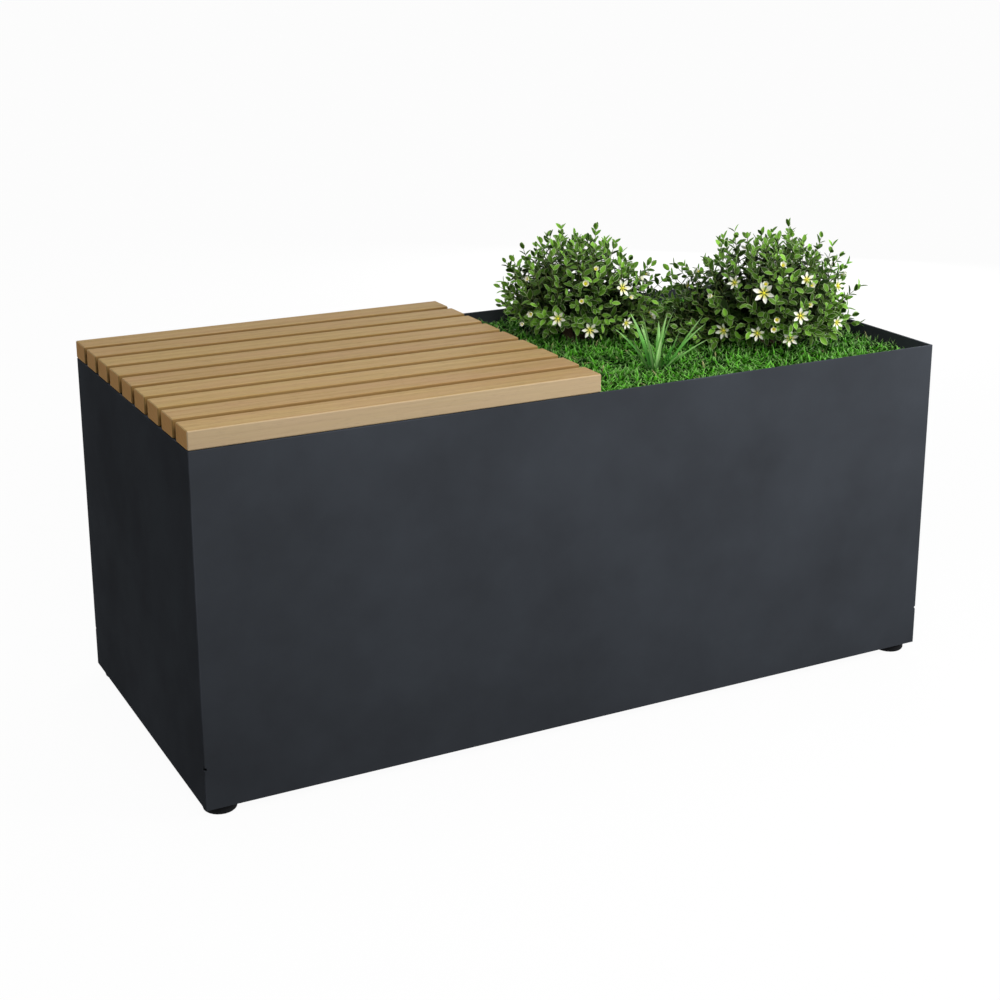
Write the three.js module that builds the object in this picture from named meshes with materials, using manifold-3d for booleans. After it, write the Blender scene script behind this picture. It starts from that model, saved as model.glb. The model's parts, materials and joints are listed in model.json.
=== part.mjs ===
// Bench with planter: a box of thin black sheet steel on four levelling feet. A slatted teak seat
// lies over one half and lifts off; the other half is a trough of soil with turf, two flowering
// shrubs and a tuft of grass. Millimetres, +Z up. The origin is on the floor under the middle of
// the box, +X points to the planted end and -Y is the front.
import * as THREE from 'three';
import { mergeVertices } from 'three/addons/utils/BufferGeometryUtils.js';
import Module from 'manifold-3d';

const wasm = await Module();
wasm.setup();

// Driving sizes of the whole bench
const benchLength = 1000;
const benchDepth = 450;
const seatHeight = 450;
const seatLength = 500;

// Levelling feet
const footHeight = 12;
const footRadius = 19.5;
const footInset = 23.5;
const footEdgeRadius = 3.3;
const footTopChamfer = 0.8;
const studRadius = 5;
const studRise = 40;
const studHeadRadius = 8.5;
const studHeadHeight = 5;
const studTipChamfer = 1;
const studClearance = 0.3;

// Steel box
const sheet = 2.5;
const cornerRadius = 1.5;
const drainNotchHeight = 50;
const drainNotchRadius = 2.25;
const floorDrainRadius = 6;
const floorDrainPitch = 150;
const gussetSide = 64;
const gussetTip = 14;
const gussetThickness = 3;
const nutAcrossFlats = 17;
const nutHeight = 9;

// Ledges that carry the seat, and the wall that holds the soil back from it
const ledgeReach = 25;
const ledgeDrop = 22;
const ledgeThickness = 2.5;
const partitionSetback = 3;

// Seat
const slatWidth = 40;
const slatThickness = 22;
const slatEdgeRadius = 2;
const slatCount = 9;
const rimGap = 0.5;
const battenWidth = 40;
const battenThickness = 22;
const battenClearance = 2.5;
const battenEdgeRadius = 1.5;
const battenCount = 3;

// Filling of the trough
const fillClearance = 0.5;
const turfBelowRim = 17.5;
const turfThickness = 12;
const turfSwell = 2.5;
const turfSwellPitch = 70;
const drainageDepth = 50;
const fleeceThickness = 2;
const plantingHoleRadius = 24;
const tuftHoleRadius = 16;

// Shrubs: the reach of the leaf tips from the middle of each crown, and each plant's place as shares
// of the trough's length from the partition and of its half depth from the middle
const leftShrubReach = 117;
const leftShrubRise = 112;
const rightShrubReachAlong = 123;
const rightShrubReachAcross = 132;
const rightShrubRise = 124;
const leftShrubPlaceShares = [0.3125, 0.472];
const rightShrubPlaceShares = [0.7525, -0.202];
const tuftPlaceShares = [0.3345, -0.427];
const crownMiddle = 56;
const crownReachDown = 40;
const sprigCount = 30;
const sprigLength = 46;
const sprigRoot = 12;
const twigRadius = 1.4;
const leafLength = 25;
const leafWidth = 12;
const leafThickness = 1.6;
const collarRadius = 20;
const collarHeight = 8;
const branchCount = 6;
const branchRootRadius = 4;
const branchTipRadius = 2.5;
const branchLength = 80;
const branchLeanShares = [0.55, 0.95];
const branchClearance = 0.4;

// Tuft of grass
const tuftBladeLength = 72;
const tuftBladeWidth = 3.6;
const tuftBladeThickness = 1.2;
const tuftBladeCount = 26;
const tuftRootRadius = 13;
const tuftRootHeight = 10;

// Places worked out from the sizes above
const halfLength = benchLength / 2;
const halfDepth = benchDepth / 2;
const innerHalfLength = halfLength - sheet;
const innerHalfDepth = halfDepth - sheet;
const steelBottom = footHeight;
const slatBottom = seatHeight - slatThickness;
const rim = slatBottom - rimGap;
const steelHeight = rim - steelBottom;
const floorTop = steelBottom + drainNotchHeight - drainNotchRadius;
const seatEnd = -halfLength + seatLength;
const partitionFace = seatEnd - partitionSetback;
const ledgeTop = slatBottom - battenThickness;
const overrun = 1;

const materials = {
  steel: new THREE.MeshStandardMaterial({ color: '#33363b', roughness: 0.55, metalness: 0.4 }),
  zinc: new THREE.MeshStandardMaterial({ color: '#a9adb0', roughness: 0.35, metalness: 0.9 }),
  rubber: new THREE.MeshStandardMaterial({ color: '#141414', roughness: 0.7, metalness: 0 }),
  teak: new THREE.MeshStandardMaterial({ color: '#ad9670', roughness: 0.65, metalness: 0 }),
  soil: new THREE.MeshStandardMaterial({ color: '#3a2b1f', roughness: 1, metalness: 0 }),
  clay: new THREE.MeshStandardMaterial({ color: '#8a5a3c', roughness: 0.9, metalness: 0 }),
  fleece: new THREE.MeshStandardMaterial({ color: '#b9b9b4', roughness: 1, metalness: 0 }),
  turf: new THREE.MeshStandardMaterial({ color: '#3f7d1e', roughness: 0.8, metalness: 0 }),
  leaf: new THREE.MeshStandardMaterial({ color: '#4d7a35', roughness: 0.6, metalness: 0 }),
  bark: new THREE.MeshStandardMaterial({ color: '#5b4530', roughness: 0.9, metalness: 0 }),
};

// A closed solid for a cut or a join, with the vertices that its faces share merged
function solidOf(geometry) {
  const bare = geometry.clone();
  bare.deleteAttribute('normal');
  bare.deleteAttribute('uv');
  const merged = mergeVertices(bare);
  return new wasm.Manifold(
    new wasm.Mesh({
      numProp: 3,
      vertProperties: merged.attributes.position.array,
      triVerts: new Uint32Array(merged.index.array),
    }),
  );
}

// Outer skin of a joined solid: the small pockets that crossing leaves and blades close off are filled
function filled(solid) {
  return solid.decompose().sort((a, b) => b.volume() - a.volume())[0];
}

function geometryOf(solid) {
  const mesh = solid.getMesh();
  const geometry = new THREE.BufferGeometry();
  geometry.setAttribute('position', new THREE.BufferAttribute(mesh.vertProperties, mesh.numProp));
  geometry.setIndex(new THREE.BufferAttribute(mesh.triVerts, 1));
  geometry.computeVertexNormals();
  return geometry;
}

function piece(parent, name, geometry, material, x = 0, y = 0, z = 0) {
  const mesh = new THREE.Mesh(geometry, material);
  mesh.name = name;
  mesh.position.set(x, y, z);
  parent.add(mesh);
  return mesh;
}

function extruded(shape, depth, curveSegments = 1) {
  return new THREE.ExtrudeGeometry(shape, { depth, bevelEnabled: false, curveSegments });
}

// A rectangle with its own corner radius at each corner, in the order low-low, high-low, high-high, low-high
function roundedRectangle(x0, y0, x1, y1, radii) {
  const [a, b, c, d] = radii;
  const shape = new THREE.Shape();
  shape.moveTo(x0 + a, y0);
  shape.lineTo(x1 - b, y0);
  if (b) shape.absarc(x1 - b, y0 + b, b, -Math.PI / 2, 0);
  shape.lineTo(x1, y1 - c);
  if (c) shape.absarc(x1 - c, y1 - c, c, 0, Math.PI / 2);
  shape.lineTo(x0 + d, y1);
  if (d) shape.absarc(x0 + d, y1 - d, d, Math.PI / 2, Math.PI);
  shape.lineTo(x0, y0 + a);
  if (a) shape.absarc(x0 + a, y0 + a, a, Math.PI, 1.5 * Math.PI);
  return shape;
}

function boxBetween(x0, y0, z0, x1, y1, z1) {
  const geometry = new THREE.BoxGeometry(x1 - x0, y1 - y0, z1 - z0);
  return geometry.translate((x0 + x1) / 2, (y0 + y1) / 2, (z0 + z1) / 2);
}

// A round bar along Z with its lower end at z0
function bar(radius, z0, z1, sides) {
  const geometry = new THREE.CylinderGeometry(radius, radius, z1 - z0, sides);
  return geometry.rotateX(Math.PI / 2).translate(0, 0, (z0 + z1) / 2);
}

// The four corners of the box, as signs along X and Y
const corners = [
  { name: 'front_left', sx: -1, sy: -1 },
  { name: 'front_right', sx: 1, sy: -1 },
  { name: 'rear_right', sx: 1, sy: 1 },
  { name: 'rear_left', sx: -1, sy: 1 },
];

const bench = new THREE.Group();

// Steel box: four sheets welded edge to edge, the long ones lapping the ends of the short ones.
// Each upright corner has a small round notch through its bend, just above the floor plate.
const box = new THREE.Group();
box.position.z = steelBottom;
bench.add(box);

const notchSides = 12;
function notchAt(corner) {
  const notch = bar(drainNotchRadius, -sheet * 4, sheet * 4, notchSides);
  notch.rotateX(Math.PI / 2).rotateZ((corner.sx * corner.sy * -Math.PI) / 4);
  return solidOf(notch.translate(corner.sx * halfLength, corner.sy * halfDepth, drainNotchHeight));
}

function sheetWall(shape, touches) {
  let wall = solidOf(extruded(shape, steelHeight, 3));
  for (const corner of corners.filter(touches)) wall = wall.subtract(notchAt(corner));
  return geometryOf(wall);
}

const r = cornerRadius;
piece(
  box,
  'front_wall',
  sheetWall(
    roundedRectangle(-halfLength, -halfDepth, halfLength, -innerHalfDepth, [r, r, 0, 0]),
    (corner) => corner.sy < 0,
  ),
  materials.steel,
);
piece(
  box,
  'rear_wall',
  sheetWall(
    roundedRectangle(-halfLength, innerHalfDepth, halfLength, halfDepth, [0, 0, r, r]),
    (corner) => corner.sy > 0,
  ),
  materials.steel,
);
piece(
  box,
  'left_wall',
  sheetWall(
    roundedRectangle(-halfLength, -innerHalfDepth, -innerHalfLength, innerHalfDepth, [0, 0, 0, 0]),
    (corner) => corner.sx < 0,
  ),
  materials.steel,
);
piece(
  box,
  'right_wall',
  sheetWall(
    roundedRectangle(innerHalfLength, -innerHalfDepth, halfLength, innerHalfDepth, [0, 0, 0, 0]),
    (corner) => corner.sx > 0,
  ),
  materials.steel,
);

// Floor plate, with drain holes under the soil
const floorShape = new THREE.Shape();
floorShape.moveTo(-innerHalfLength, -innerHalfDepth);
floorShape.lineTo(innerHalfLength, -innerHalfDepth);
floorShape.lineTo(innerHalfLength, innerHalfDepth);
floorShape.lineTo(-innerHalfLength, innerHalfDepth);
const troughMiddle = (partitionFace + innerHalfLength) / 2;
for (const column of [-1, 0, 1]) {
  for (const row of [-1, 0, 1]) {
    const hole = new THREE.Path();
    hole.absarc(
      troughMiddle + column * floorDrainPitch,
      row * floorDrainPitch,
      floorDrainRadius,
      0,
      2 * Math.PI,
      true,
    );
    floorShape.holes.push(hole);
  }
}
const drainSegments = 5;
piece(
  box,
  'floor_plate',
  extruded(floorShape, sheet, drainSegments),
  materials.steel,
  0,
  0,
  floorTop - sheet - steelBottom,
);

// Partition between the space under the seat and the soil
piece(
  box,
  'partition_wall',
  boxBetween(
    partitionFace - sheet,
    -innerHalfDepth,
    floorTop - steelBottom,
    partitionFace,
    innerHalfDepth,
    steelHeight,
  ),
  materials.steel,
);

// Angle ledges welded along the front and rear walls, under the ends of the seat's battens
for (const [name, sy] of [
  ['front_ledge', -1],
  ['rear_ledge', 1],
]) {
  const ledge = new THREE.Shape();
  ledge.moveTo(sy * innerHalfDepth, 0);
  ledge.lineTo(sy * (innerHalfDepth - ledgeReach), 0);
  ledge.lineTo(sy * (innerHalfDepth - ledgeReach), -ledgeThickness);
  ledge.lineTo(sy * (innerHalfDepth - ledgeThickness), -ledgeThickness);
  ledge.lineTo(sy * (innerHalfDepth - ledgeThickness), -ledgeDrop);
  ledge.lineTo(sy * innerHalfDepth, -ledgeDrop);
  const run = partitionFace - sheet + innerHalfLength;
  const angle = extruded(ledge, run);
  angle.applyMatrix4(new THREE.Matrix4().set(0, 0, 1, 0, 1, 0, 0, 0, 0, 1, 0, 0, 0, 0, 0, 1));
  piece(box, name, angle, materials.steel, -innerHalfLength, 0, ledgeTop - steelBottom);
}

// Feet: a gusset in each lower corner of the box carries a weld nut, and a stud with a round pad
// screws up through both. Screwing it out levels the bench.
const studSides = 12;
const padSides = 24;
const edgeSteps = 3;

// Outline of a gusset with its stud hole at the origin, run anticlockwise in every corner
function gussetShape({ sx, sy }) {
  const edge = footInset - sheet;
  const outline = [
    [edge, edge],
    [edge - gussetSide, edge],
    [edge - gussetSide, edge - gussetTip],
    [edge - gussetTip, edge - gussetSide],
    [edge, edge - gussetSide],
  ].map(([x, y]) => new THREE.Vector2(sx * x, sy * y));
  if (sx * sy < 0) outline.reverse();
  const plate = new THREE.Shape(outline);
  plate.holes.push(studHole());
  return plate;
}

function studHole() {
  return new THREE.Path().absarc(0, 0, studRadius + studClearance, 0, 2 * Math.PI, true);
}

function nutShape() {
  const hex = new THREE.Shape();
  const outer = nutAcrossFlats / Math.sqrt(3);
  for (let side = 0; side < 6; side += 1) {
    const angle = (side * Math.PI) / 3;
    if (side) hex.lineTo(outer * Math.cos(angle), outer * Math.sin(angle));
    else hex.moveTo(outer, 0);
  }
  hex.holes.push(studHole());
  return hex;
}

// Pad turned round its axis: rounded lower edge, small chamfer above and a pocket for the stud's head
function padGeometry() {
  const pocketRadius = studHeadRadius + studClearance;
  const pocketFloor = footHeight - studHeadHeight - studClearance;
  const profile = [new THREE.Vector2(0, 0)];
  for (let step = 0; step <= edgeSteps; step += 1) {
    const angle = ((step / edgeSteps) * Math.PI) / 2;
    profile.push(
      new THREE.Vector2(
        footRadius - footEdgeRadius + footEdgeRadius * Math.sin(angle),
        footEdgeRadius - footEdgeRadius * Math.cos(angle),
      ),
    );
  }
  profile.push(
    new THREE.Vector2(footRadius, footHeight - footTopChamfer),
    new THREE.Vector2(footRadius - footTopChamfer, footHeight),
    new THREE.Vector2(pocketRadius, footHeight),
    new THREE.Vector2(pocketRadius, pocketFloor),
    new THREE.Vector2(0, pocketFloor),
  );
  return new THREE.LatheGeometry(profile, padSides).rotateX(Math.PI / 2);
}

function studGeometry() {
  const headBottom = footHeight - studHeadHeight;
  const top = footHeight + studRise;
  const profile = [
    new THREE.Vector2(0, headBottom),
    new THREE.Vector2(studHeadRadius, headBottom),
    new THREE.Vector2(studHeadRadius, footHeight),
    new THREE.Vector2(studRadius, footHeight),
    new THREE.Vector2(studRadius, top - studTipChamfer),
    new THREE.Vector2(studRadius - studTipChamfer, top),
    new THREE.Vector2(0, top),
  ];
  return new THREE.LatheGeometry(profile, studSides).rotateX(Math.PI / 2);
}

for (const corner of corners) {
  const foot = new THREE.Group();
  foot.position.set(corner.sx * (halfLength - footInset), corner.sy * (halfDepth - footInset), 0);
  bench.add(foot);
  piece(
    foot,
    `gusset_${corner.name}`,
    extruded(gussetShape(corner), gussetThickness, studSides / 2),
    materials.steel,
    0,
    0,
    steelBottom,
  );
  piece(
    foot,
    `weld_nut_${corner.name}`,
    extruded(nutShape(), nutHeight, studSides / 2),
    materials.zinc,
    0,
    0,
    steelBottom + gussetThickness,
  );
  piece(foot, `foot_pad_${corner.name}`, padGeometry(), materials.rubber);
  piece(foot, `foot_stud_${corner.name}`, studGeometry(), materials.zinc);
}

// Seat: slats along the bench, screwed from below to battens that drop inside the box
const seat = new THREE.Group();
seat.position.z = slatBottom;
bench.add(seat);

const roundSteps = 2;

// A plank along X from x = 0: long edges rounded, and the ends eased by half as much
function plank(length, width, thickness, edge) {
  const ease = edge / 2;
  const half = width / 2 - ease;
  const section = roundedRectangle(-half, ease, half, thickness - ease, [ease, ease, ease, ease]);
  const geometry = new THREE.ExtrudeGeometry(section, {
    depth: length - 2 * ease,
    bevelEnabled: true,
    bevelThickness: ease,
    bevelSize: ease,
    bevelSegments: 1,
    curveSegments: roundSteps,
  });
  geometry.applyMatrix4(new THREE.Matrix4().set(0, 0, 1, 0, 1, 0, 0, 0, 0, 1, 0, 0, 0, 0, 0, 1));
  return geometry.translate(ease, 0, 0);
}

const slatPitch = (benchDepth - slatWidth) / (slatCount - 1);
for (let slat = 0; slat < slatCount; slat += 1) {
  piece(
    seat,
    `slat_${slat + 1}`,
    plank(seatLength, slatWidth, slatThickness, slatEdgeRadius),
    materials.teak,
    -halfLength,
    -halfDepth + slatWidth / 2 + slat * slatPitch,
    0,
  );
}

const battenFirst = -innerHalfLength + battenClearance + battenWidth / 2;
const battenLast = partitionFace - sheet - battenClearance - battenWidth / 2;
const battenLength = 2 * (innerHalfDepth - battenClearance);
const battenNames = ['left_batten', 'middle_batten', 'right_batten'];
for (let batten = 0; batten < battenCount; batten += 1) {
  const timber = plank(battenLength, battenWidth, battenThickness, battenEdgeRadius);
  timber.applyMatrix4(new THREE.Matrix4().set(0, -1, 0, 0, 1, 0, 0, 0, 0, 0, 1, 0, 0, 0, 0, 1));
  piece(
    seat,
    battenNames[batten],
    timber,
    materials.teak,
    battenFirst + ((battenLast - battenFirst) * batten) / (battenCount - 1),
    -battenLength / 2,
    -battenThickness,
  );
}

// Filling of the trough: clay granules, a fleece, soil and a mat of turf
const fill = {
  x0: partitionFace + fillClearance,
  x1: innerHalfLength - fillClearance,
  y0: -innerHalfDepth + fillClearance,
  y1: innerHalfDepth - fillClearance,
};
const turfTop = rim - turfBelowRim;
const soilTop = turfTop - turfThickness;
const fleeceBottom = floorTop + drainageDepth;

function plantPlace([along, across]) {
  return { x: partitionFace + along * (innerHalfLength - partitionFace), y: across * innerHalfDepth };
}

const shrubs = [
  {
    name: 'left',
    ...plantPlace(leftShrubPlaceShares),
    reachX: leftShrubReach,
    reachY: leftShrubReach,
    reachUp: leftShrubRise,
    turn: 0.4,
  },
  {
    name: 'right',
    ...plantPlace(rightShrubPlaceShares),
    reachX: rightShrubReachAlong,
    reachY: rightShrubReachAcross,
    reachUp: rightShrubRise,
    turn: 2.1,
  },
];
const tuftPlace = plantPlace(tuftPlaceShares);

function layer(z0, z1) {
  return boxBetween(fill.x0, fill.y0, z0, fill.x1, fill.y1, z1);
}

piece(bench, 'drainage_layer', layer(floorTop, fleeceBottom), materials.clay);
piece(bench, 'filter_fleece', layer(fleeceBottom, fleeceBottom + fleeceThickness), materials.fleece);
piece(bench, 'soil', layer(fleeceBottom + fleeceThickness, soilTop), materials.soil);

// The mat swells gently, and has a round hole at the foot of each plant
const turfCells = { across: 13, deep: 11 };
const turfBlock = new THREE.BoxGeometry(
  fill.x1 - fill.x0,
  fill.y1 - fill.y0,
  turfThickness,
  turfCells.across,
  turfCells.deep,
  1,
);
turfBlock.translate((fill.x0 + fill.x1) / 2, 0, soilTop + turfThickness / 2);
const turfPlaces = turfBlock.attributes.position;
for (let i = 0; i < turfPlaces.count; i += 1) {
  if (turfPlaces.getZ(i) > soilTop + turfThickness / 2) {
    const phaseX = (2 * Math.PI * turfPlaces.getX(i)) / turfSwellPitch;
    const phaseY = (2 * Math.PI * turfPlaces.getY(i)) / turfSwellPitch;
    const swell = (Math.sin(phaseX) * Math.cos(phaseY) + Math.sin(phaseY + phaseX / 2)) / 2;
    turfPlaces.setZ(i, turfTop + turfSwell * swell);
  }
}
let turf = solidOf(turfBlock);
const holeSides = 14;
for (const shrub of shrubs) {
  const hole = bar(plantingHoleRadius, soilTop - overrun, turfTop + turfThickness, holeSides);
  turf = turf.subtract(solidOf(hole.translate(shrub.x, shrub.y, 0)));
}
const tuftHole = bar(tuftHoleRadius, soilTop - overrun, turfTop + turfThickness, holeSides);
turf = turf.subtract(solidOf(tuftHole.translate(tuftPlace.x, tuftPlace.y, 0)));
piece(bench, 'turf_mat', geometryOf(turf), materials.turf);

// Places a piece drawn along +Z so that it starts at a point and runs in a direction
function aimed(geometry, start, direction, roll = 0) {
  const turn = new THREE.Quaternion().setFromUnitVectors(
    new THREE.Vector3(0, 0, 1),
    direction.clone().normalize(),
  );
  return geometry.clone().rotateZ(roll).applyQuaternion(turn).translate(start.x, start.y, start.z);
}

// A tapering round stick along +Z from the origin
function stick(rootRadius, tipRadius, length, sides) {
  const geometry = new THREE.CylinderGeometry(tipRadius, rootRadius, length, sides);
  return geometry.rotateX(Math.PI / 2).translate(0, 0, length / 2);
}

const goldenAngle = Math.PI * (3 - Math.sqrt(5));

// A repeatable value between 0 and 1 for each count
function spread(count, salt) {
  const value = Math.sin(count * 12.9898 + salt * 78.233) * 43758.5453;
  return value - Math.floor(value);
}

// Branches of a shrub, leaning out from its collar; extra thickens them for the clearance in the crown
const branchSides = 6;
const branchFootShare = 1 / 3;
function branches(shrub, extra) {
  const parts = [];
  for (let i = 0; i < branchCount; i += 1) {
    const angle = shrub.turn + (i * 2 * Math.PI) / branchCount;
    const lean = branchLeanShares[i % 2];
    const direction = new THREE.Vector3(Math.cos(angle) * lean, Math.sin(angle) * lean, 1);
    const start = new THREE.Vector3(
      Math.cos(angle) * collarRadius * branchFootShare,
      Math.sin(angle) * collarRadius * branchFootShare,
      collarHeight / 2,
    );
    const branch = stick(
      branchRootRadius + extra,
      branchTipRadius + extra,
      branchLength + extra,
      branchSides,
    );
    parts.push(solidOf(aimed(branch, start, direction)));
  }
  return parts;
}

// Sprig along +Z: a twig with two crossed pairs of leaves and one leaf at its tip
const leafWidestShare = 0.45;
function leafGeometry() {
  const geometry = new THREE.BufferGeometry();
  const widest = leafLength * leafWidestShare;
  const places = [
    [0, 0, 0],
    [-leafWidth / 2, 0, widest],
    [leafWidth / 2, 0, widest],
    [0, leafThickness, widest],
    [0, 0, leafLength],
  ];
  geometry.setAttribute('position', new THREE.Float32BufferAttribute(places.flat(), 3));
  geometry.setIndex([0, 1, 3, 0, 3, 2, 0, 2, 1, 4, 3, 1, 4, 2, 3, 4, 1, 2]);
  return geometry;
}
const leaf = leafGeometry();
const leafSplay = 0.9;
const pairHeightShares = [0.55, 0.85];
const tipLeafOverlapShare = 0.2;
function sprig() {
  const twigLength = sprigLength - leafLength * (1 - tipLeafOverlapShare);
  const parts = [solidOf(stick(twigRadius, twigRadius / 2, twigLength, 3))];
  const tip = new THREE.Vector3(0, 0, sprigLength - leafLength);
  parts.push(solidOf(aimed(leaf, tip, new THREE.Vector3(0, 0, 1))));
  pairHeightShares.forEach((share, pair) => {
    for (const side of [-1, 1]) {
      const out = new THREE.Vector3(pair ? 0 : side, pair ? side : 0, leafSplay);
      const start = new THREE.Vector3(0, 0, twigLength * share);
      parts.push(solidOf(aimed(leaf, start, out, pair ? 0 : Math.PI / 2)));
    }
  });
  return parts.reduce((whole, part) => whole.add(part));
}

// Rounded, lobed heart of a crown, which its sprigs grow out of
const heartAcross = 16;
const heartDown = 10;
const lobeShare = 0.08;
const lobes = 5;
function heart(shrub) {
  const geometry = new THREE.SphereGeometry(1, heartAcross, heartDown).rotateX(Math.PI / 2);
  const places = geometry.attributes.position;
  const inward = sprigLength - sprigRoot;
  for (let i = 0; i < places.count; i += 1) {
    const p = new THREE.Vector3().fromBufferAttribute(places, i);
    const across = Math.hypot(p.x, p.y);
    const lobe = 1 + lobeShare * across * Math.cos(lobes * (Math.atan2(p.y, p.x) + shrub.turn));
    const up = p.z > 0 ? shrub.reachUp - inward : crownReachDown - inward / 2;
    places.setXYZ(
      i,
      p.x * lobe * (shrub.reachX - inward),
      p.y * lobe * (shrub.reachY - inward),
      crownMiddle + p.z * up,
    );
  }
  return solidOf(geometry);
}

// The sprigs stand evenly over the heart, from its top to a little below its middle
const crownWrap = 1.3;
const unevenShare = 0.8;
function crown(shrub) {
  const unit = sprig();
  let whole = heart(shrub);
  for (let i = 0; i < sprigCount; i += 1) {
    const height = 1 - (crownWrap * (i + 0.5)) / sprigCount;
    const flat = Math.sqrt(1 - height * height);
    const angle = shrub.turn + i * goldenAngle;
    const way = new THREE.Vector3(Math.cos(angle) * flat, Math.sin(angle) * flat, height);
    const reachZ = height > 0 ? shrub.reachUp : crownReachDown;
    const tip = new THREE.Vector3(
      way.x * shrub.reachX,
      way.y * shrub.reachY,
      crownMiddle + way.z * reachZ,
    );
    tip.addScaledVector(way, -sprigRoot * unevenShare * spread(i, 1));
    const start = tip.clone().addScaledVector(way, -sprigLength);
    const turn = new THREE.Quaternion().setFromUnitVectors(new THREE.Vector3(0, 0, 1), way);
    const place = new THREE.Matrix4().compose(start, turn, new THREE.Vector3(1, 1, 1));
    const roll = new THREE.Matrix4().makeRotationZ(2 * Math.PI * spread(i, 2));
    whole = whole.add(unit.transform(place.multiply(roll).elements));
  }
  for (const branch of branches(shrub, branchClearance)) whole = whole.subtract(branch);
  return geometryOf(filled(whole));
}

const collarSides = 10;
for (const shrub of shrubs) {
  const plant = new THREE.Group();
  plant.position.set(shrub.x, shrub.y, soilTop);
  bench.add(plant);
  const collar = solidOf(bar(collarRadius, 0, collarHeight, collarSides));
  const wood = branches(shrub, 0).reduce((whole, part) => whole.add(part), collar);
  piece(plant, `shrub_${shrub.name}_branches`, geometryOf(filled(wood)), materials.bark);
  piece(plant, `shrub_${shrub.name}_crown`, crown(shrub), materials.leaf);
}

// Tuft: blades that arch out from a short root, each a tapering bar of triangular section
const bladeSteps = 4;
const tuftFootShare = 0.4;
const bladeStartLean = 0.35;
const tuftLeanLeast = 0.15;
const tuftLeanMost = 1;
const tuftShortestShare = 0.72;
const tuftSpreadShare = 0.85;
function tuftBlade(lean, size) {
  const positions = [];
  const indices = [];
  const length = tuftBladeLength * size;
  for (let step = 0; step <= bladeSteps; step += 1) {
    const share = step / bladeSteps;
    const tilt = lean * (bladeStartLean + (1 - bladeStartLean) * share);
    const fullness = tuftFootShare + (1 - tuftFootShare) * Math.sin(Math.PI * share);
    const width = (tuftBladeWidth / 2) * fullness;
    const thickness = tuftBladeThickness * (tuftFootShare + (1 - share) * (1 - tuftFootShare));
    const out = length * share * Math.sin(tilt);
    const up = length * share * Math.cos(tilt);
    if (step === bladeSteps) {
      positions.push(out, 0, up);
    } else {
      positions.push(out, -width, up, out, width, up, out - thickness, 0, up);
    }
  }
  indices.push(0, 2, 1);
  for (let step = 0; step < bladeSteps - 1; step += 1) {
    const low = step * 3;
    for (let side = 0; side < 3; side += 1) {
      const next = (side + 1) % 3;
      indices.push(low + side, low + next, low + 3 + side);
      indices.push(low + next, low + 3 + next, low + 3 + side);
    }
  }
  const last = (bladeSteps - 1) * 3;
  const tip = last + 3;
  for (let side = 0; side < 3; side += 1) indices.push(last + side, last + ((side + 1) % 3), tip);
  const geometry = new THREE.BufferGeometry();
  geometry.setAttribute('position', new THREE.Float32BufferAttribute(positions, 3));
  geometry.setIndex(indices);
  return geometry;
}

const tuftRootSides = 12;
let tuft = solidOf(bar(tuftRootRadius, 0, tuftRootHeight, tuftRootSides));
for (let i = 0; i < tuftBladeCount; i += 1) {
  const share = (i + 0.5) / tuftBladeCount;
  const lean = tuftLeanLeast + (tuftLeanMost - tuftLeanLeast) * share;
  const size = tuftShortestShare + (1 - tuftShortestShare) * spread(i, 3);
  const blade = tuftBlade(lean, size);
  blade.translate(tuftRootRadius * tuftSpreadShare * Math.sqrt(share), 0, tuftRootHeight / 2);
  blade.rotateZ(i * goldenAngle);
  tuft = tuft.add(solidOf(blade));
}
piece(bench, 'grass_tuft', geometryOf(filled(tuft)), materials.turf, tuftPlace.x, tuftPlace.y, soilTop);

export default bench;
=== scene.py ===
# Bench with planter: a powder-coated steel box on four levelling feet, with a lift-off seat of
# teak slats over one half, and turf, two flowering shrubs and a tuft of grass in the other half.
# Metres, +Z up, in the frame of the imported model.
import json
import math

import bpy
from mathutils import Matrix, Vector, noise

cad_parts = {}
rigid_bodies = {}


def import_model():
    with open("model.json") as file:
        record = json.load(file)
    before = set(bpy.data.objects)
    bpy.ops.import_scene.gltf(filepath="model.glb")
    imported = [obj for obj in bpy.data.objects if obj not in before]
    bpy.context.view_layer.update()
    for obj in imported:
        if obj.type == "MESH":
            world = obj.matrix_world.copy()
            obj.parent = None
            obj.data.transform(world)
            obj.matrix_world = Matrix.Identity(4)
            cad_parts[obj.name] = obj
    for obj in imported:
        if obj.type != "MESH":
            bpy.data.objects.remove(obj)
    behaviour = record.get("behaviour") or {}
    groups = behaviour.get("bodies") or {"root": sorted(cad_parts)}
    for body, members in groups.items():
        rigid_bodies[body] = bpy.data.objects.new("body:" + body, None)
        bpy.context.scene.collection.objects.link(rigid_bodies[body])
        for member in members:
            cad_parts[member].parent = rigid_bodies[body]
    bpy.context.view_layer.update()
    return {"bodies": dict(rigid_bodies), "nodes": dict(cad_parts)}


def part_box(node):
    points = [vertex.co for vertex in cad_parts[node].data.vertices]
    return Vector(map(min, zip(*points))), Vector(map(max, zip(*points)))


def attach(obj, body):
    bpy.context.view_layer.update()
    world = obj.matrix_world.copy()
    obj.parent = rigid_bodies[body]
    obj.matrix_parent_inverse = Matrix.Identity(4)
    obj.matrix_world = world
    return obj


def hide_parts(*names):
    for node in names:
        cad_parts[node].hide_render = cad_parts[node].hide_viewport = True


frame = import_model()
scene = bpy.context.scene
nodes = frame["nodes"]
mm = 0.001


# The room: a pale floor, an even white surround, four soft boxes and a ceiling of light. The front
# and the top are lit, and the left end stays in shade.
def linear(sRGB):
    """A hex colour such as "33363b" as the linear values that a shader takes."""
    channels = [int(sRGB[i : i + 2], 16) / 255 for i in (0, 2, 4)]
    return [c / 12.92 if c <= 0.04045 else ((c + 0.055) / 1.055) ** 2.4 for c in channels] + [1.0]


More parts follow.
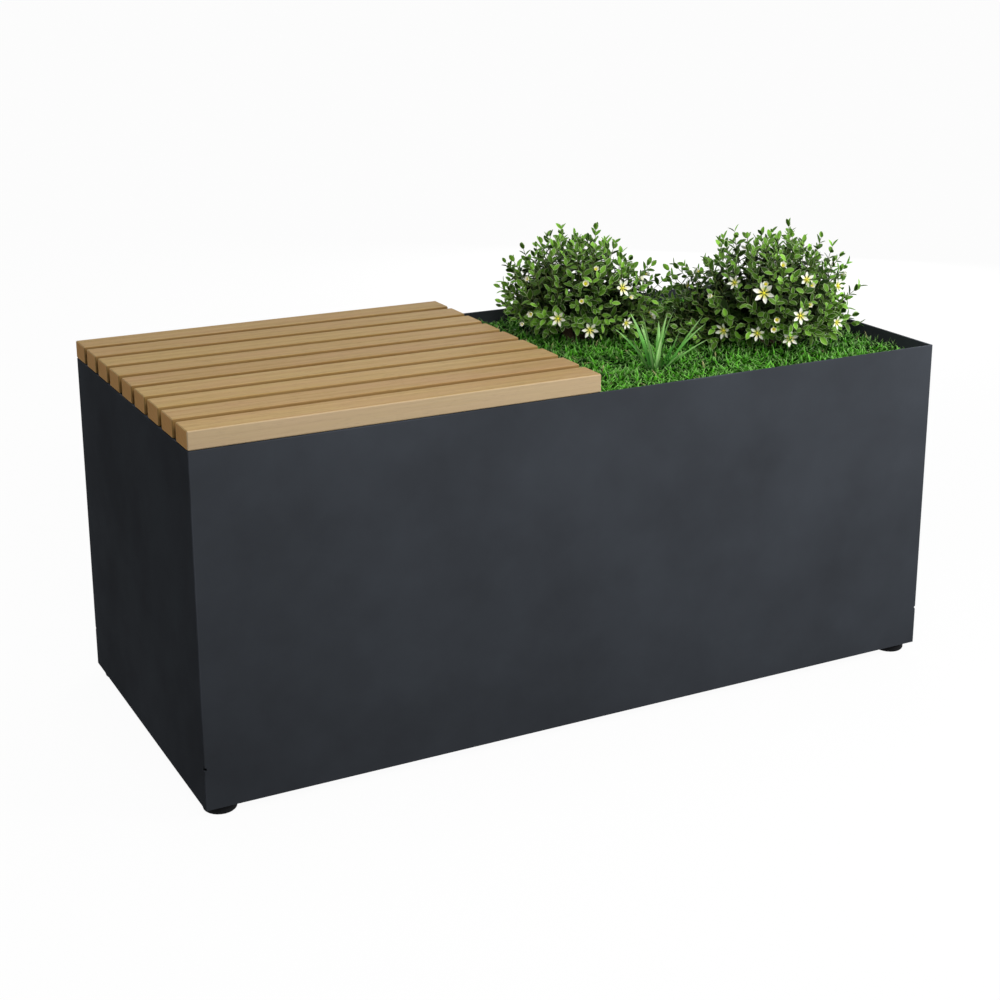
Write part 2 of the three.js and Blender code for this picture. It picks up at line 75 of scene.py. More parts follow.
def put(kind, *inputs, **settings):
    """Adds a node with its settings to the tree in hand, and returns its outputs. Its inputs, in order or
    by their keys, are values, outputs of other nodes, or all outputs of a node, whose first it takes."""
    node = tree.nodes.new(kind)
    for name, value in settings.items():
        setattr(node, name, value)
    keyed = inputs[0] if inputs and isinstance(inputs[0], dict) else dict(enumerate(inputs))
    for key, value in keyed.items():
        if isinstance(value, type(node.outputs)):
            value = value[0]
        if isinstance(value, bpy.types.NodeSocket):
            tree.links.new(value, node.inputs[key])
        else:
            node.inputs[key].default_value = value
    return node.outputs


def new_finish(name):
    """An empty material, whose tree is now in hand, and the place on the piece that its patterns read."""
    global tree
    finish = bpy.data.materials.new(name)
    finish.use_nodes = True
    tree = finish.node_tree
    tree.nodes.clear()
    return finish, put("ShaderNodeTexCoord")["Object"]


def two_tones(place, size, dark, light, shape):
    """Clouds of one size, and a colour that goes from a dark tone to a light one with them."""
    clouds = put("ShaderNodeTexNoise", {"Vector": place, "Scale": 1 / size, **shape})
    tones = put("ShaderNodeMix", {0: clouds, 6: linear(dark), 7: linear(light)}, data_type="RGBA")
    return clouds[0], tones[2]


def new_object(name, mesh):
    made = bpy.data.objects.new(name, mesh)
    scene.collection.objects.link(made)
    return made


def mesh_of(name, points, faces):
    mesh = bpy.data.meshes.new(name)
    mesh.from_pydata(points, [], faces)
    mesh.update()
    return mesh


def seen_rays():
    """One for the rays that show the surroundings, straight, in a reflection or through glass, else zero."""
    path = put("ShaderNodeLightPath")
    seen = put("ShaderNodeMath", path["Is Camera Ray"], path["Is Glossy Ray"], operation="MAXIMUM")
    return put("ShaderNodeMath", seen, path["Is Transmission Ray"], operation="MAXIMUM")[0]


scene.view_settings.view_transform = "Standard"

# White to the eye and in reflections, and a dim grey as a source of light
surround_light = 0.1
world = bpy.data.worlds.new("even_surround")
world.use_nodes = True
world.node_tree.nodes.clear()
tree = world.node_tree
strength = put("ShaderNodeMapRange", {0: seen_rays(), 3: surround_light, 4: 1.0})
background = put("ShaderNodeBackground", {"Color": linear("ffffff"), "Strength": strength})
put("ShaderNodeOutputWorld", {"Surface": background})
scene.world = world

# Matt white painted floor, rolled on, so faintly uneven. Most of what the eye sees of it is plain
# white, and the rest takes the shadow.
floor_half = 40.0
floor_plainness = 0.96
roller_patch = 1 / 3.0
floor_finish, place = new_finish("matt_white_studio_paint")
seen = seen_rays()
share = put("ShaderNodeMath", seen, floor_plainness, operation="MULTIPLY")
paint = two_tones(place, roller_patch, "e6e6e6", "eaeaea", {})[1]
paint = put("ShaderNodeMix", {0: seen, 6: linear("2c2c2c"), 7: paint}, data_type="RGBA")[2]
matt = put("ShaderNodeBsdfPrincipled", {"Base Color": paint, "Roughness": 0.9, "Specular IOR Level": 0.0})
plain = put("ShaderNodeEmission", {"Color": linear("ffffff"), "Strength": 1.0})
put("ShaderNodeOutputMaterial", {"Surface": put("ShaderNodeMixShader", share, matt, plain)})
floor_corners = [(x * floor_half, y * floor_half, 0.0) for x, y in ((-1, -1), (1, -1), (1, 1), (-1, 1))]
floor = new_object("floor", mesh_of("floor", floor_corners, [(0, 1, 2, 3)]))
floor.data.materials.append(floor_finish)
# It stays under the lowest foot, however far the feet are screwed out
for body, anchor in frame["bodies"].items():
    if body.startswith("foot_"):
        under = floor.constraints.new("FLOOR")
        under.target = anchor
        under.floor_location = "FLOOR_NEGATIVE_Z"

# Soft boxes, which the eye doesn't see: a low one close to the front right corner, from which the
# light fades over the front, one above the front left, one that just lifts the shaded left end,
# and one for the back and the right end
soft_boxes = {
    "soft_box_front_right": {"side": 0.5, "watts": 10.2, "at": (0.75, -0.95, 0.75), "to": (0.1, -0.1, 0.35)},
    "soft_box_front_left": {"side": 0.5, "watts": 7.8, "at": (-0.5, -1.05, 1.1), "to": (-0.3, -0.2, 0.3)},
    "soft_box_left": {"side": 1.0, "watts": 5.2, "at": (-2.8, 0.2, 1.2), "to": (-0.4, 0.0, 0.4)},
    "soft_box_back": {"side": 1.0, "watts": 46.0, "at": (1.9, 2.2, 0.65), "to": (0.1, 0.0, 0.35)},
}
for name, measures in soft_boxes.items():
    soft_box = bpy.data.lights.new(name, "AREA")
    soft_box.shape = "SQUARE"
    soft_box.size = measures["side"]
    soft_box.energy = measures["watts"]
    lamp = new_object(name, soft_box)
    lamp.visible_camera = False
    lamp.location = measures["at"]
    lamp.rotation_mode = "QUATERNION"
    lamp.rotation_quaternion = (lamp.location - Vector(measures["to"])).to_track_quat("Z", "Y")
# An even ceiling of light, a little from behind
ceiling = bpy.data.lights.new("ceiling", "SUN")
ceiling.energy = 1.12
ceiling.angle = math.radians(50)
overhead = new_object("ceiling", ceiling)
overhead.rotation_mode = "QUATERNION"
overhead.rotation_quaternion = Vector((0.08, 0.14, 0.95)).to_track_quat("Z", "Y")

# The camera stands at the front left, above the seat, and looks down over the bench
camera = bpy.data.cameras.new("camera")
camera.sensor_width = 36.0
camera.lens = 62.96
camera.shift_x = -0.0087
camera.shift_y = -0.1
camera.clip_end = 200.0
camera_yaw = math.radians(27.8)
camera_pitch = math.radians(15.63)
viewer = new_object("camera", camera)
viewer.location = (-1.015, -1.918, 0.970)
viewer.rotation_euler = (math.pi / 2 - camera_pitch, 0.0, -camera_yaw)
scene.camera = viewer


# Steel box: 2.5 mm sheet, cut by laser, bent and welded, with the floor plate, partition, ledges
# and gussets welded in, then powder coated anthracite all over in one go.
def coat(names, finish):
    """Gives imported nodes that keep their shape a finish."""
    for name in names:
        for place in nodes[name].material_slots:
            place.material = finish


def finished(look):
    """Ends a material with the shader that has this look."""
    put("ShaderNodeOutputMaterial", {"Surface": put("ShaderNodeBsdfPrincipled", look)})


box_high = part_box("rear_wall")[1]

# Powder coat, sprayed on as powder and baked: matt anthracite, faintly cloudy where the film is
# thinner, and a little paler along the outer edges, partly wear and partly a painted highlight. Its grain of
# 0.3 mm is drawn at 2.5 mm to be seen.
cloud_size = 170 * mm
blotch_size = 35 * mm
coat_grain = 2.5 * mm
coat_relief = 0.2 * mm
edge_width = 1.6 * mm
powder_coat, place = new_finish("anthracite_powder_coat")
clouds = {"Vector": place, "Scale": 1 / cloud_size, "Detail": 3.0, "Roughness": 0.55}
blotches = {"Vector": place, "Scale": 1 / blotch_size, "Detail": 4.0, "Roughness": 0.6}
clouds, blotches = (put("ShaderNodeTexNoise", pattern) for pattern in (clouds, blotches))
cloudy = put("ShaderNodeMapRange", clouds, 0.36, 0.64)
blotchy = put("ShaderNodeMapRange", blotches, 0.3, 0.7, 0.0, 0.3)
tone = put("ShaderNodeMath", cloudy, 0.7, blotchy, operation="MULTIPLY_ADD")
body = put("ShaderNodeMix", {0: tone, 6: linear("3a3d42"), 7: linear("42464c")}, data_type="RGBA")
axis = put("ShaderNodeSeparateXYZ", place)
outside = []
for way, outer in enumerate(box_high.xy):
    away = put("ShaderNodeMath", axis[way], operation="ABSOLUTE")
    outside.append(put("ShaderNodeMath", away, outer - edge_width, operation="GREATER_THAN"))
top = put("ShaderNodeMath", axis[2], box_high.z - edge_width / 2, operation="GREATER_THAN")
corner = put("ShaderNodeMath", *outside, operation="MULTIPLY")
edge = put("ShaderNodeMath", corner, top, operation="MAXIMUM")
# The paler outer corners and top rim are partly wear and partly a painted highlight
worn_and_highlit_edge = put("ShaderNodeMath", edge, cloudy, operation="MULTIPLY")
colour = put("ShaderNodeMix", {0: worn_and_highlit_edge, 6: body[2], 7: linear("4e525a")}, data_type="RGBA")
grain = put("ShaderNodeTexNoise", {"Vector": place, "Scale": 1 / coat_grain, "Detail": 2.0})
raised = put("ShaderNodeBump", {"Strength": 0.12, "Distance": coat_relief, "Height": grain})
gloss = put("ShaderNodeMapRange", {0: tone, 3: 0.8, 4: 0.72})
finished({"Base Color": colour[2], "Roughness": gloss, "Specular IOR Level": 0.01, "Normal": raised})
sheet_parts = [name for name in nodes if name.endswith(("_wall", "_ledge")) or name.startswith("gusset_")]
coat(sheet_parts + ["floor_plate"], powder_coat)


# Feet: a moulded rubber pad on an M10 zinc-plated stud, which screws up through a weld nut on
# the gusset in each corner and levels the bench.
def ringed(name, rings, sides):
    """A closed round piece from its rings, each a list of points, with a flat cap at both ends."""
    points = [point for ring in rings for point in ring]
    faces = [tuple(reversed(range(sides)))]
    for low in range(0, (len(rings) - 1) * sides, sides):
        for k in range(sides):
            after = (k + 1) % sides
            faces.append((low + k, low + after, low + sides + after, low + sides + k))
    last = (len(rings) - 1) * sides
    faces.append(tuple(last + k for k in range(sides)))
    return mesh_of(name, points, faces)


def circle(radius, z, sides):
    turns = [2 * math.pi * k / sides for k in range(sides)]
    return [(radius * math.cos(a), radius * math.sin(a), z) for a in turns]


def bare_metal(name, cloud_size, detail, dark, light, glossy, dull):
    """A satin metal with faint clouds, which are duller where they are lighter."""
    finish, place = new_finish(name)
    clouds, colour = two_tones(place, cloud_size, dark, light, {"Detail": detail})
    gloss = put("ShaderNodeMapRange", {0: clouds, 3: glossy, 4: dull})
    finished({"Base Color": colour, "Metallic": 1.0, "Roughness": gloss})
    return finish


# Zinc plate with a clear passivation: a satin grey metal, cloudy from the bath
zinc_plate = bare_metal(
    "zinc_plated_steel", cloud_size=6 * mm, detail=4.0, dark="a2a6a9", light="c3c4c0", glossy=0.28, dull=0.45
)
coat([name for name in nodes if name.startswith("weld_nut_")], zinc_plate)

# Moulded black rubber: matt, with a fine eroded grain, drawn coarser at 1.2 mm to be seen, and a
# dusty bloom in the last 8 mm above the floor
rubber_grain = 1.2 * mm
rubber_relief = 0.2 * mm
bloom_height = 8 * mm
rubber, place = new_finish("moulded_black_rubber")
height = put("ShaderNodeSeparateXYZ", place)
bloom = put("ShaderNodeMapRange", height[2], 0.0, bloom_height, 0.3, 0.0)
colour = put("ShaderNodeMix", {0: bloom, 6: linear("101113"), 7: linear("2b2c2e")}, data_type="RGBA")
grain = put("ShaderNodeTexNoise", {"Vector": place, "Scale": 1 / rubber_grain, "Detail": 2.0})
raised = put("ShaderNodeBump", {"Strength": 0.2, "Distance": rubber_relief, "Height": grain})
finished({"Base Color": colour[2], "Roughness": 0.7, "Specular IOR Level": 0.1, "Normal": raised})
coat([name for name in nodes if name.startswith("foot_pad_")], rubber)

# The studs: a round head in the pad, a short neck and a rolled thread of 1.5 mm pitch
thread_radius = 5 * mm
thread_depth = 0.75 * mm
thread_pitch = 1.5 * mm
head_radius = 8.5 * mm
head_height = 5 * mm
head_chamfer = 0.5 * mm
neck_step = 0.02 * mm
neck_length = 1.5 * mm
stud_sides = 20
steps_a_turn = 4
for name in [n for n in nodes if n.startswith("foot_stud_")]:
    low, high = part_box(name)
    middle = (low + high) / 2
    neck = low.z + head_height + neck_length
    rings = [
        circle(head_radius - head_chamfer, low.z, stud_sides),
        circle(head_radius, low.z + head_chamfer, stud_sides),
        circle(head_radius, low.z + head_height, stud_sides),
        circle(thread_radius - thread_depth, low.z + head_height + neck_step, stud_sides),
    ]
    steps = int((high.z - neck) / thread_pitch * steps_a_turn)
    for step in range(steps + 1):
        z = neck + (high.z - neck) * step / steps
        ease = min(1.0, (steps - step) / steps_a_turn, step / steps_a_turn)
        ring = []
        for k in range(stud_sides):
            turn = 2 * math.pi * k / stud_sides
            phase = ((z - neck) / thread_pitch - k / stud_sides) % 1.0
            crest = 1 - abs(2 * phase - 1)
            radius = thread_radius - thread_depth * (1 - crest * ease)
            ring.append((radius * math.cos(turn), radius * math.sin(turn), z))
        rings.append(ring)
    stud = new_object(name.replace("foot_stud", "threaded_stud"), ringed(name, rings, stud_sides))
    stud.data.transform(Matrix.Translation((middle.x, middle.y, 0)))
    stud.data.materials.append(zinc_plate)
    corner_name = name.removeprefix("foot_stud_")
    end_name, side_name = corner_name.split("_")
    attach(stud, f"foot_{end_name}_{side_name}")
    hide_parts(name)


# Seat: nine sawn and planed teak slats with rounded edges, laid along the bench and screwed from
# below to three battens of the same wood. The whole seat lifts off.
slat_low, slat_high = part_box("slat_1")
slat_width = slat_high.y - slat_low.y
slat_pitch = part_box("slat_2")[0].y - slat_low.y
batten_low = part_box("left_batten")[0]
batten_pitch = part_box("middle_batten")[0].x - batten_low.x


def stretched(place, length, width, shape):
    """Clouds drawn out along the piece to this length, and this wide across it."""
    spread = put("ShaderNodeVectorMath", place, (1 / length, 1 / width, 1 / width), operation="MULTIPLY")
    return put("ShaderNodeTexNoise", {"Vector": spread, "Scale": 1.0, **shape})[0]


def teak(name, along, across, first, pitch):
    """Oiled teak with its grain along one axis, and each piece of wood cut from another board."""
    # The eye sees tan wood with fine straight streaks 1 to 3 mm wide and up to 20 cm long, faint
    # growth rings 7 mm apart, pores of 0.3 mm drawn 0.8 mm wide, and darker, warmer end grain
    ring_spacing = 7 * mm
    ring_scale = 0.314 / ring_spacing  # at a scale of one the wave pattern repeats every 0.314
    ring_run = 0.09  # how little the rings change along the board, so that they run as long arches
    heart_offset = 30 * mm
    pore_width, end_pore = 0.8 * mm, 1.5 * mm
    wood_relief = 0.25 * mm
    face_depth = 1 * mm
    board_shift = 9.0  # metres at most between the patterns of two boards
    finish, place = new_finish(name)
    axis = put("ShaderNodeSeparateXYZ", place)
    facing = put("ShaderNodeSeparateXYZ", put("ShaderNodeTexCoord")["Normal"])
    count = put("ShaderNodeMath", axis[across], first, operation="SUBTRACT")
    count = put("ShaderNodeMath", count, pitch, operation="DIVIDE")
    board = put("ShaderNodeMath", count, operation="FLOOR")
    chance = put("ShaderNodeTexWhiteNoise", {"W": board}, noise_dimensions="1D")
    shift = put("ShaderNodeMath", chance, board_shift, operation="MULTIPLY")
    slide = put("ShaderNodeMath", axis[along], shift, operation="ADD")
    spot = put("ShaderNodeCombineXYZ", slide, axis[across], axis[2])[0]
    streaks = stretched(spot, 160 * mm, 2.2 * mm, {"Detail": 5.0, "Roughness": 0.62})
    pores = stretched(spot, 14 * mm, pore_width, {"Detail": 1.0})
    drifts = stretched(spot, 90 * mm, 22 * mm, {"Detail": 3.0})
    # Rings round a heart that lies beside the board
    heart_off = put("ShaderNodeMapRange", {0: chance, 3: -heart_offset, 4: heart_offset})
    in_board = put("ShaderNodeMath", board, pitch, operation="MULTIPLY")
    local = put("ShaderNodeMath", axis[across], in_board, operation="SUBTRACT")
    local = put("ShaderNodeMath", local, heart_off, operation="ADD")
    slow = put("ShaderNodeMath", slide, ring_run, operation="MULTIPLY")
    rings = put(
        "ShaderNodeTexWave",
        {
            "Vector": put("ShaderNodeCombineXYZ", slow, local, axis[2]),
            "Scale": ring_scale,
            "Distortion": 5.0,
            "Detail": 2.0,
            "Detail Scale": 0.35,
        },
        wave_type="RINGS",
        rings_direction="X",
    )[1]
    # Streaks, rings, dark pores, and slow drifts to a rosier tan along each board
    streak = put("ShaderNodeMapRange", streaks, 0.3, 0.7)
    ringed_tone = put("ShaderNodeMath", rings, 0.2, operation="MULTIPLY")
    pore = put("ShaderNodeMapRange", pores, 0.6, 0.7, 0.0, 0.42)
    drift = put("ShaderNodeMapRange", drifts, 0.42, 0.68, 0.0, 0.28)
    tone = linear("aa8b55")
    for share, shade in ((streak, "ba9f72"), (ringed_tone, "8f6d3c"), (pore, "6e5431"), (drift, "b48c6c")):
        tone = put("ShaderNodeMix", {0: share, 6: tone, 7: linear(shade)}, data_type="RGBA")[2]
    # No two boards have quite the same tone
    value = put("ShaderNodeMapRange", {0: chance, 3: 0.95, 4: 1.04})
    warmth = put("ShaderNodeMapRange", {0: chance, 3: 0.497, 4: 0.503})
    tone = put("ShaderNodeHueSaturation", {"Hue": warmth, "Value": value, "Color": tone})[0]
    # The sides in the gaps are darkened as painted shade, and the outermost two are paler as a
    # painted sheen
    sideways = put("ShaderNodeMath", axis[1], operation="ABSOLUTE")
    outermost = put("ShaderNodeMath", sideways, box_high.y - face_depth, operation="GREATER_THAN")
    sideward = put("ShaderNodeMath", facing[across], operation="ABSOLUTE")
    sideward = put("ShaderNodeMath", sideward, 0.6, operation="GREATER_THAN")
    # Painted shade on the slat sides inside the gaps
    painted_gap_shade = put("ShaderNodeMath", sideward, outermost, operation="SUBTRACT", use_clamp=True)
    painted_gap_shade = put("ShaderNodeMath", painted_gap_shade, 0.6, operation="MULTIPLY")
    # Painted sheen: the outermost sides of the seat are paler
    paler = put("ShaderNodeMath", outermost, 0.55, operation="MULTIPLY")
    for share, shade in ((painted_gap_shade, "765318"), (paler, "cab698")):
        tone = put("ShaderNodeMix", {0: share, 6: tone, 7: linear(shade)}, data_type="RGBA")[2]
    # End grain, with open pores drawn 1.5 mm wide
    cut = put("ShaderNodeMath", facing[along], operation="ABSOLUTE")
    cut = put("ShaderNodeMath", cut, 0.85, operation="GREATER_THAN")
    open_pores = put("ShaderNodeTexNoise", {"Vector": place, "Scale": 1 / end_pore})
    end_tone = put("ShaderNodeMath", rings, 0.3, open_pores, operation="MULTIPLY_ADD")
    end = put("ShaderNodeMix", {0: end_tone, 6: linear("da9c54"), 7: linear("e4b06c")}, data_type="RGBA")[2]
    colour = put("ShaderNodeMix", {0: cut, 6: tone, 7: end}, data_type="RGBA")[2]
    relief = put("ShaderNodeMath", streaks, pore, operation="SUBTRACT")
    raised = put("ShaderNodeBump", {"Strength": 0.35, "Distance": wood_relief, "Height": relief})
    gloss = put("ShaderNodeMapRange", {0: streaks, 3: 0.6, 4: 0.75})
    finished({"Base Color": colour, "Roughness": gloss, "Specular IOR Level": 0.15, "Normal": raised})
    return finish


slat_gap = slat_pitch - slat_width
teak_slats = teak("oiled_teak_along_the_bench", 0, 1, slat_low.y - slat_gap / 2, slat_pitch)
teak_battens = teak("oiled_teak_across_the_bench", 1, 0, batten_low.x - slat_gap / 2, batten_pitch)
coat([name for name in nodes if name.startswith("slat_")], teak_slats)
coat([name for name in nodes if name.endswith("_batten")], teak_battens)


def new_tree(name, **inputs):
    """Takes a new tree that makes geometry in hand, with named inputs of each kind, and returns them."""
    global tree
    tree = bpy.data.node_groups.new(name, "GeometryNodeTree")
    tree.interface.new_socket("Geometry", in_out="OUTPUT", socket_type="NodeSocketGeometry")
    inputs = {"Geometry": ["Geometry"], **inputs, "Material": ["Finish"]}
    for kind, titles in inputs.items():
        for title in titles:
            tree.interface.new_socket(title, in_out="INPUT", socket_type=f"NodeSocket{kind}")
    return put("NodeGroupInput")


def ended(shapes, finish):
    """Ends a tree: the copies that it made become real, take their finish and go out."""
    shapes = put("GeometryNodeRealizeInstances", shapes)
    put("NodeGroupOutput", put("GeometryNodeSetMaterial", {0: shapes, "Material": finish}))


# Values that a tree keeps only while it works
working_marks = "id turn lean bend size root start handle tip left_over facing openness".split()


def grown(name, tree, sizes, carrier=None):
    """Runs a tree with these sizes, on a carrier mesh if it needs one, and keeps a plain mesh."""
    made = new_object(name, carrier or bpy.data.meshes.new(name))
    growth = made.modifiers.new("growth", "NODES")
    growth.node_group = tree
    for socket in tree.interface.items_tree:
        if socket.name in sizes:
            growth[socket.identifier] = sizes[socket.name]
    graph = bpy.context.evaluated_depsgraph_get()
    ready = made.evaluated_get(graph)
    mesh = bpy.data.meshes.new_from_object(ready, preserve_all_data_layers=True, depsgraph=graph)
    made.modifiers.clear()
    made.data = mesh
    mesh.name = name
    mesh.materials.clear()
    mesh.materials.append(sizes["Finish"])
    mesh.polygons.foreach_set("material_index", [0] * len(mesh.polygons))
    for mark in [m.name for m in mesh.attributes if m.name in working_marks]:
        mesh.attributes.remove(mesh.attributes[mark])
    return made


# The screws: stainless, with a low washer head and a six-lobe socket, one where each slat crosses
# a batten, and the outermost a little further in, clear of the ledges.
screw_head_radius = 4.5 * mm
screw_head_height = 2.4 * mm
washer_edge = 0.4 * mm
socket_radius = 1.9 * mm
socket_depth = 1.4 * mm
ledge_clearance = 3 * mm
screw_sides = 12
slat_count, batten_count = 9, 3
lobes = [socket_radius * (1 if k % 2 else 0.72) for k in range(screw_sides)]


def lobed(z):
    points = circle(1.0, z, screw_sides)
    return [(x * r, y * r, height) for (x, y, height), r in zip(points, lobes)]


screw_rings = [
    circle(screw_head_radius * 0.9, 0.0, screw_sides),
    circle(screw_head_radius, -washer_edge, screw_sides),
    circle(screw_head_radius * 0.75, -screw_head_height * 0.85, screw_sides),
    circle(screw_head_radius * 0.5, -screw_head_height, screw_sides),
    lobed(-screw_head_height),
    lobed(-screw_head_height + socket_depth),
]
screw_mesh = ringed("screw_head", screw_rings, screw_sides)
screw_mesh.flip_normals()
screw_shape = new_object("screw_shape", screw_mesh)

# Stainless steel, cold headed: a bright metal, satin and faintly cloudy
stainless = bare_metal(
    "stainless_steel_screws",
    cloud_size=4 * mm, detail=3.0, dark="b4b3ae", light="cccbc6", glossy=0.22, dull=0.36,
)

given = new_tree(
    "screws_under_the_seat", Float=["Length", "Width", "Outermost"], Vector=["Middle"], Object=["Screw"]
)
crossings = {"Vertices X": batten_count, "Vertices Y": slat_count}
grid = put("GeometryNodeMeshGrid", {"Size X": given["Length"], "Size Y": given["Width"], **crossings})
spot = put("ShaderNodeSeparateXYZ", put("GeometryNodeInputPosition"))
least = put("ShaderNodeMath", given["Outermost"], -1.0, operation="MULTIPLY")
inward = put("ShaderNodeClamp", spot[1], least, given["Outermost"])
moved = put("ShaderNodeCombineXYZ", spot[0], inward, spot[2])
moved = put("ShaderNodeVectorMath", moved, given["Middle"], operation="ADD")
places = put("GeometryNodeSetPosition", {"Geometry": grid, "Position": moved})
shape = put("GeometryNodeObjectInfo", given["Screw"])
screws = put("GeometryNodeInstanceOnPoints", {"Points": places, "Instance": shape["Geometry"]})
ended(screws, given["Finish"])
right_low, right_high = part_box("right_batten")
ledge_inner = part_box("rear_ledge")[0].y
screw_sizes = {
    "Length": right_low.x - batten_low.x,
    "Width": (slat_count - 1) * slat_pitch,
    "Outermost": ledge_inner - screw_head_radius - ledge_clearance,
    "Middle": Vector(((batten_low.x + right_high.x) / 2, 0.0, batten_low.z)),
    "Screw": screw_shape,
    "Finish": stainless,
}
seat_screws = grown("seat_screws", tree, screw_sizes)
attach(seat_screws, "seat")
bpy.data.objects.remove(screw_shape)


# Filling of the trough: fired clay granules for drainage, a needled fleece, and potting soil,
# poured and laid in loose. They hardly show, and each is drawn at its real grain.
def crumbly(name, size, dark, light, relief):
    """Loose grains of one size, pressed together, from a cell pattern, with painted shade in the gaps between
    them.
    """
    finish, place = new_finish(name)
    cells = put("ShaderNodeTexVoronoi", {"Vector": place, "Scale": 1 / size})
    dust = put("ShaderNodeTexNoise", {"Vector": place, "Scale": 3 / size, "Detail": 4.0})
    each = put("ShaderNodeSeparateColor", cells["Color"])
    mixed = put("ShaderNodeMath", each, dust, operation="MULTIPLY")
    # Painted shade in the gaps between the grains
    grain_gap_shade = put("ShaderNodeMapRange", cells["Distance"], 0.35, 0.75, 0.0, 0.8)
    colour = linear(dark)
    for share, shade in ((mixed, light), (grain_gap_shade, "120d09")):
        colour = put("ShaderNodeMix", {0: share, 6: colour, 7: linear(shade)}, data_type="RGBA")[2]
    sunk = put("ShaderNodeMath", cells["Distance"], -1.0, operation="MULTIPLY")
    raised = put("ShaderNodeBump", {"Strength": 0.9, "Distance": relief, "Height": sunk})
    finished({"Base Color": colour, "Roughness": 0.95, "Specular IOR Level": 0.2, "Normal": raised})
    return finish


coat(["soil"], crumbly("potting_soil", 4 * mm, "21170f", "4a3626", 1.5 * mm))
coat(["drainage_layer"], crumbly("fired_clay_granules", 12 * mm, "6b3f28", "a8714c", 3 * mm))

# Needled polyester fleece: off-white matted fibres 40 times as long as they are wide
fibre_length, fibre_width = 20 * mm, 0.5 * mm
fibre_relief = 0.3 * mm
fleece, place = new_finish("needled_polyester_fleece")
fibres = stretched(place, fibre_length, fibre_width, {"Detail": 3.0, "Distortion": 2.0})
colour = put("ShaderNodeMix", {0: fibres, 6: linear("9a9a94"), 7: linear("d2d2cc")}, data_type="RGBA")
raised = put("ShaderNodeBump", {"Strength": 0.5, "Distance": fibre_relief, "Height": fibres})
finished({"Base Color": colour[2], "Roughness": 0.95, "Normal": raised})
coat(["filter_fleece"], fleece)


# Turf: a mat of roots and thatch, with short fine blades that lie in all directions, greener in
# some patches than in others. It is rolled out over the soil, and its blades stop at the steel.
mat_drop = 6 * mm
mat_cell = 5 * mm
mat_lump = 12 * mm
mat_rise = 2.2 * mm
turf_low, turf_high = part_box("turf_mat")
mat = new_object("turf_thatch", nodes["turf_mat"].data.copy())
mat.data.materials.clear()
weld = mat.modifiers.new("weld", "WELD")
weld.merge_threshold = 0.05 * mm
cells = mat.modifiers.new("cells", "REMESH")
cells.mode = "VOXEL"
cells.voxel_size = mat_cell
ready = mat.evaluated_get(bpy.context.evaluated_depsgraph_get())
mesh = bpy.data.meshes.new_from_object(ready)
mat.modifiers.clear()
mat.data = mesh
for vertex in mesh.vertices:
    spot = vertex.co
    upper = max(0.0, min(1.0, (spot.z - turf_low.z) / (turf_high.z - turf_low.z)))
    lump = noise.noise(spot / mat_lump) * mat_rise * upper
    spot.z += lump - mat_drop * upper
    spot.x = max(turf_low.x, min(turf_high.x, spot.x))
    spot.y = max(turf_low.y, min(turf_high.y, spot.y))
    spot.z = max(turf_low.z, spot.z)
mesh.update()

# Thatch: dark brown-green roots and dead stems, all matted, drawn near black, partly their own colour and
# partly painted shade under the blades
thatch_size = 6 * mm
thatch_relief = 1.5 * mm
thatch, place = new_finish("matted_thatch")
matted = {"Vector": place, "Scale": 1 / thatch_size, "Detail": 6.0, "Roughness": 0.7}
matted = put("ShaderNodeTexNoise", matted)
tone = put("ShaderNodeMapRange", matted, 0.4, 0.65)
colour = put("ShaderNodeMix", {0: tone, 6: linear("060c03"), 7: linear("142a0c")}, data_type="RGBA")
raised = put("ShaderNodeBump", {"Strength": 0.8, "Distance": thatch_relief, "Height": matted})
finished({"Base Color": colour[2], "Roughness": 0.95, "Specular IOR Level": 0.08, "Normal": raised})
mat.data.materials.append(thatch)


def blade_shape(name, width, thickness, fullness):
    """A straight three-sided blade of unit height, its width at each step as a share. It keeps how
    far up each point is."""
    steps = len(fullness)
    points, faces, ups = [], [(0, 1, 2)], []
    for step, full in enumerate(fullness):
        up = step / steps
        points += [(width * full / 2, 0, up), (-width * full / 2, 0, up), (0, -thickness * full, up)]
        ups += [up] * 3
    points.append((0, 0, 1))
    ups.append(1.0)
    for low in range(0, 3 * (steps - 1), 3):
        for k in range(3):
            after = (k + 1) % 3
            faces.append((low + k, low + 3 + k, low + 3 + after, low + after))
    last = 3 * (steps - 1)
    faces += [(last + k, 3 * steps, last + (k + 1) % 3) for k in range(3)]
    mesh = mesh_of(name, points, faces)
    mesh.attributes.new("up", "FLOAT", "POINT").data.foreach_set("value", ups)
    return new_object(name, mesh)


def drawn(seed, salt, least, most):
    """A random number for each point, from a seed and the salt that keeps one draw from another."""
    salted = put("ShaderNodeMath", seed, float(salt), operation="ADD")
    return put("FunctionNodeRandomValue", {2: least, 3: most, "Seed": salted})[1]


# Blades grow on the upward faces of a carrier; each leans and bends its own way
given = new_tree(
    "blades_of_grass",
    Float=["Density", "Length", "Shortest", "Lean least", "Lean most", "Bend least", "Bend most", "Spread"],
    Vector=["Middle", "Low", "High"],
    Object=["Blade"],
    Int=["Seed"],
)
grass = tree
least_upward = 0.6
normal = put("ShaderNodeSeparateXYZ", put("GeometryNodeInputNormal"))
upward = put("FunctionNodeCompare", normal[2], least_upward, operation="GREATER_THAN")
sowing = {"Mesh": given["Geometry"], "Selection": upward, "Density": given["Density"], "Seed": given["Seed"]}
points = put("GeometryNodeDistributePointsOnFaces", sowing)
root = put("GeometryNodeInputPosition")[0]
apart = put("ShaderNodeVectorMath", root, given["Middle"], operation="SUBTRACT")
apart = put("ShaderNodeSeparateXYZ", apart)
radial = put("ShaderNodeMath", apart[1], apart[0], operation="ARCTAN2")
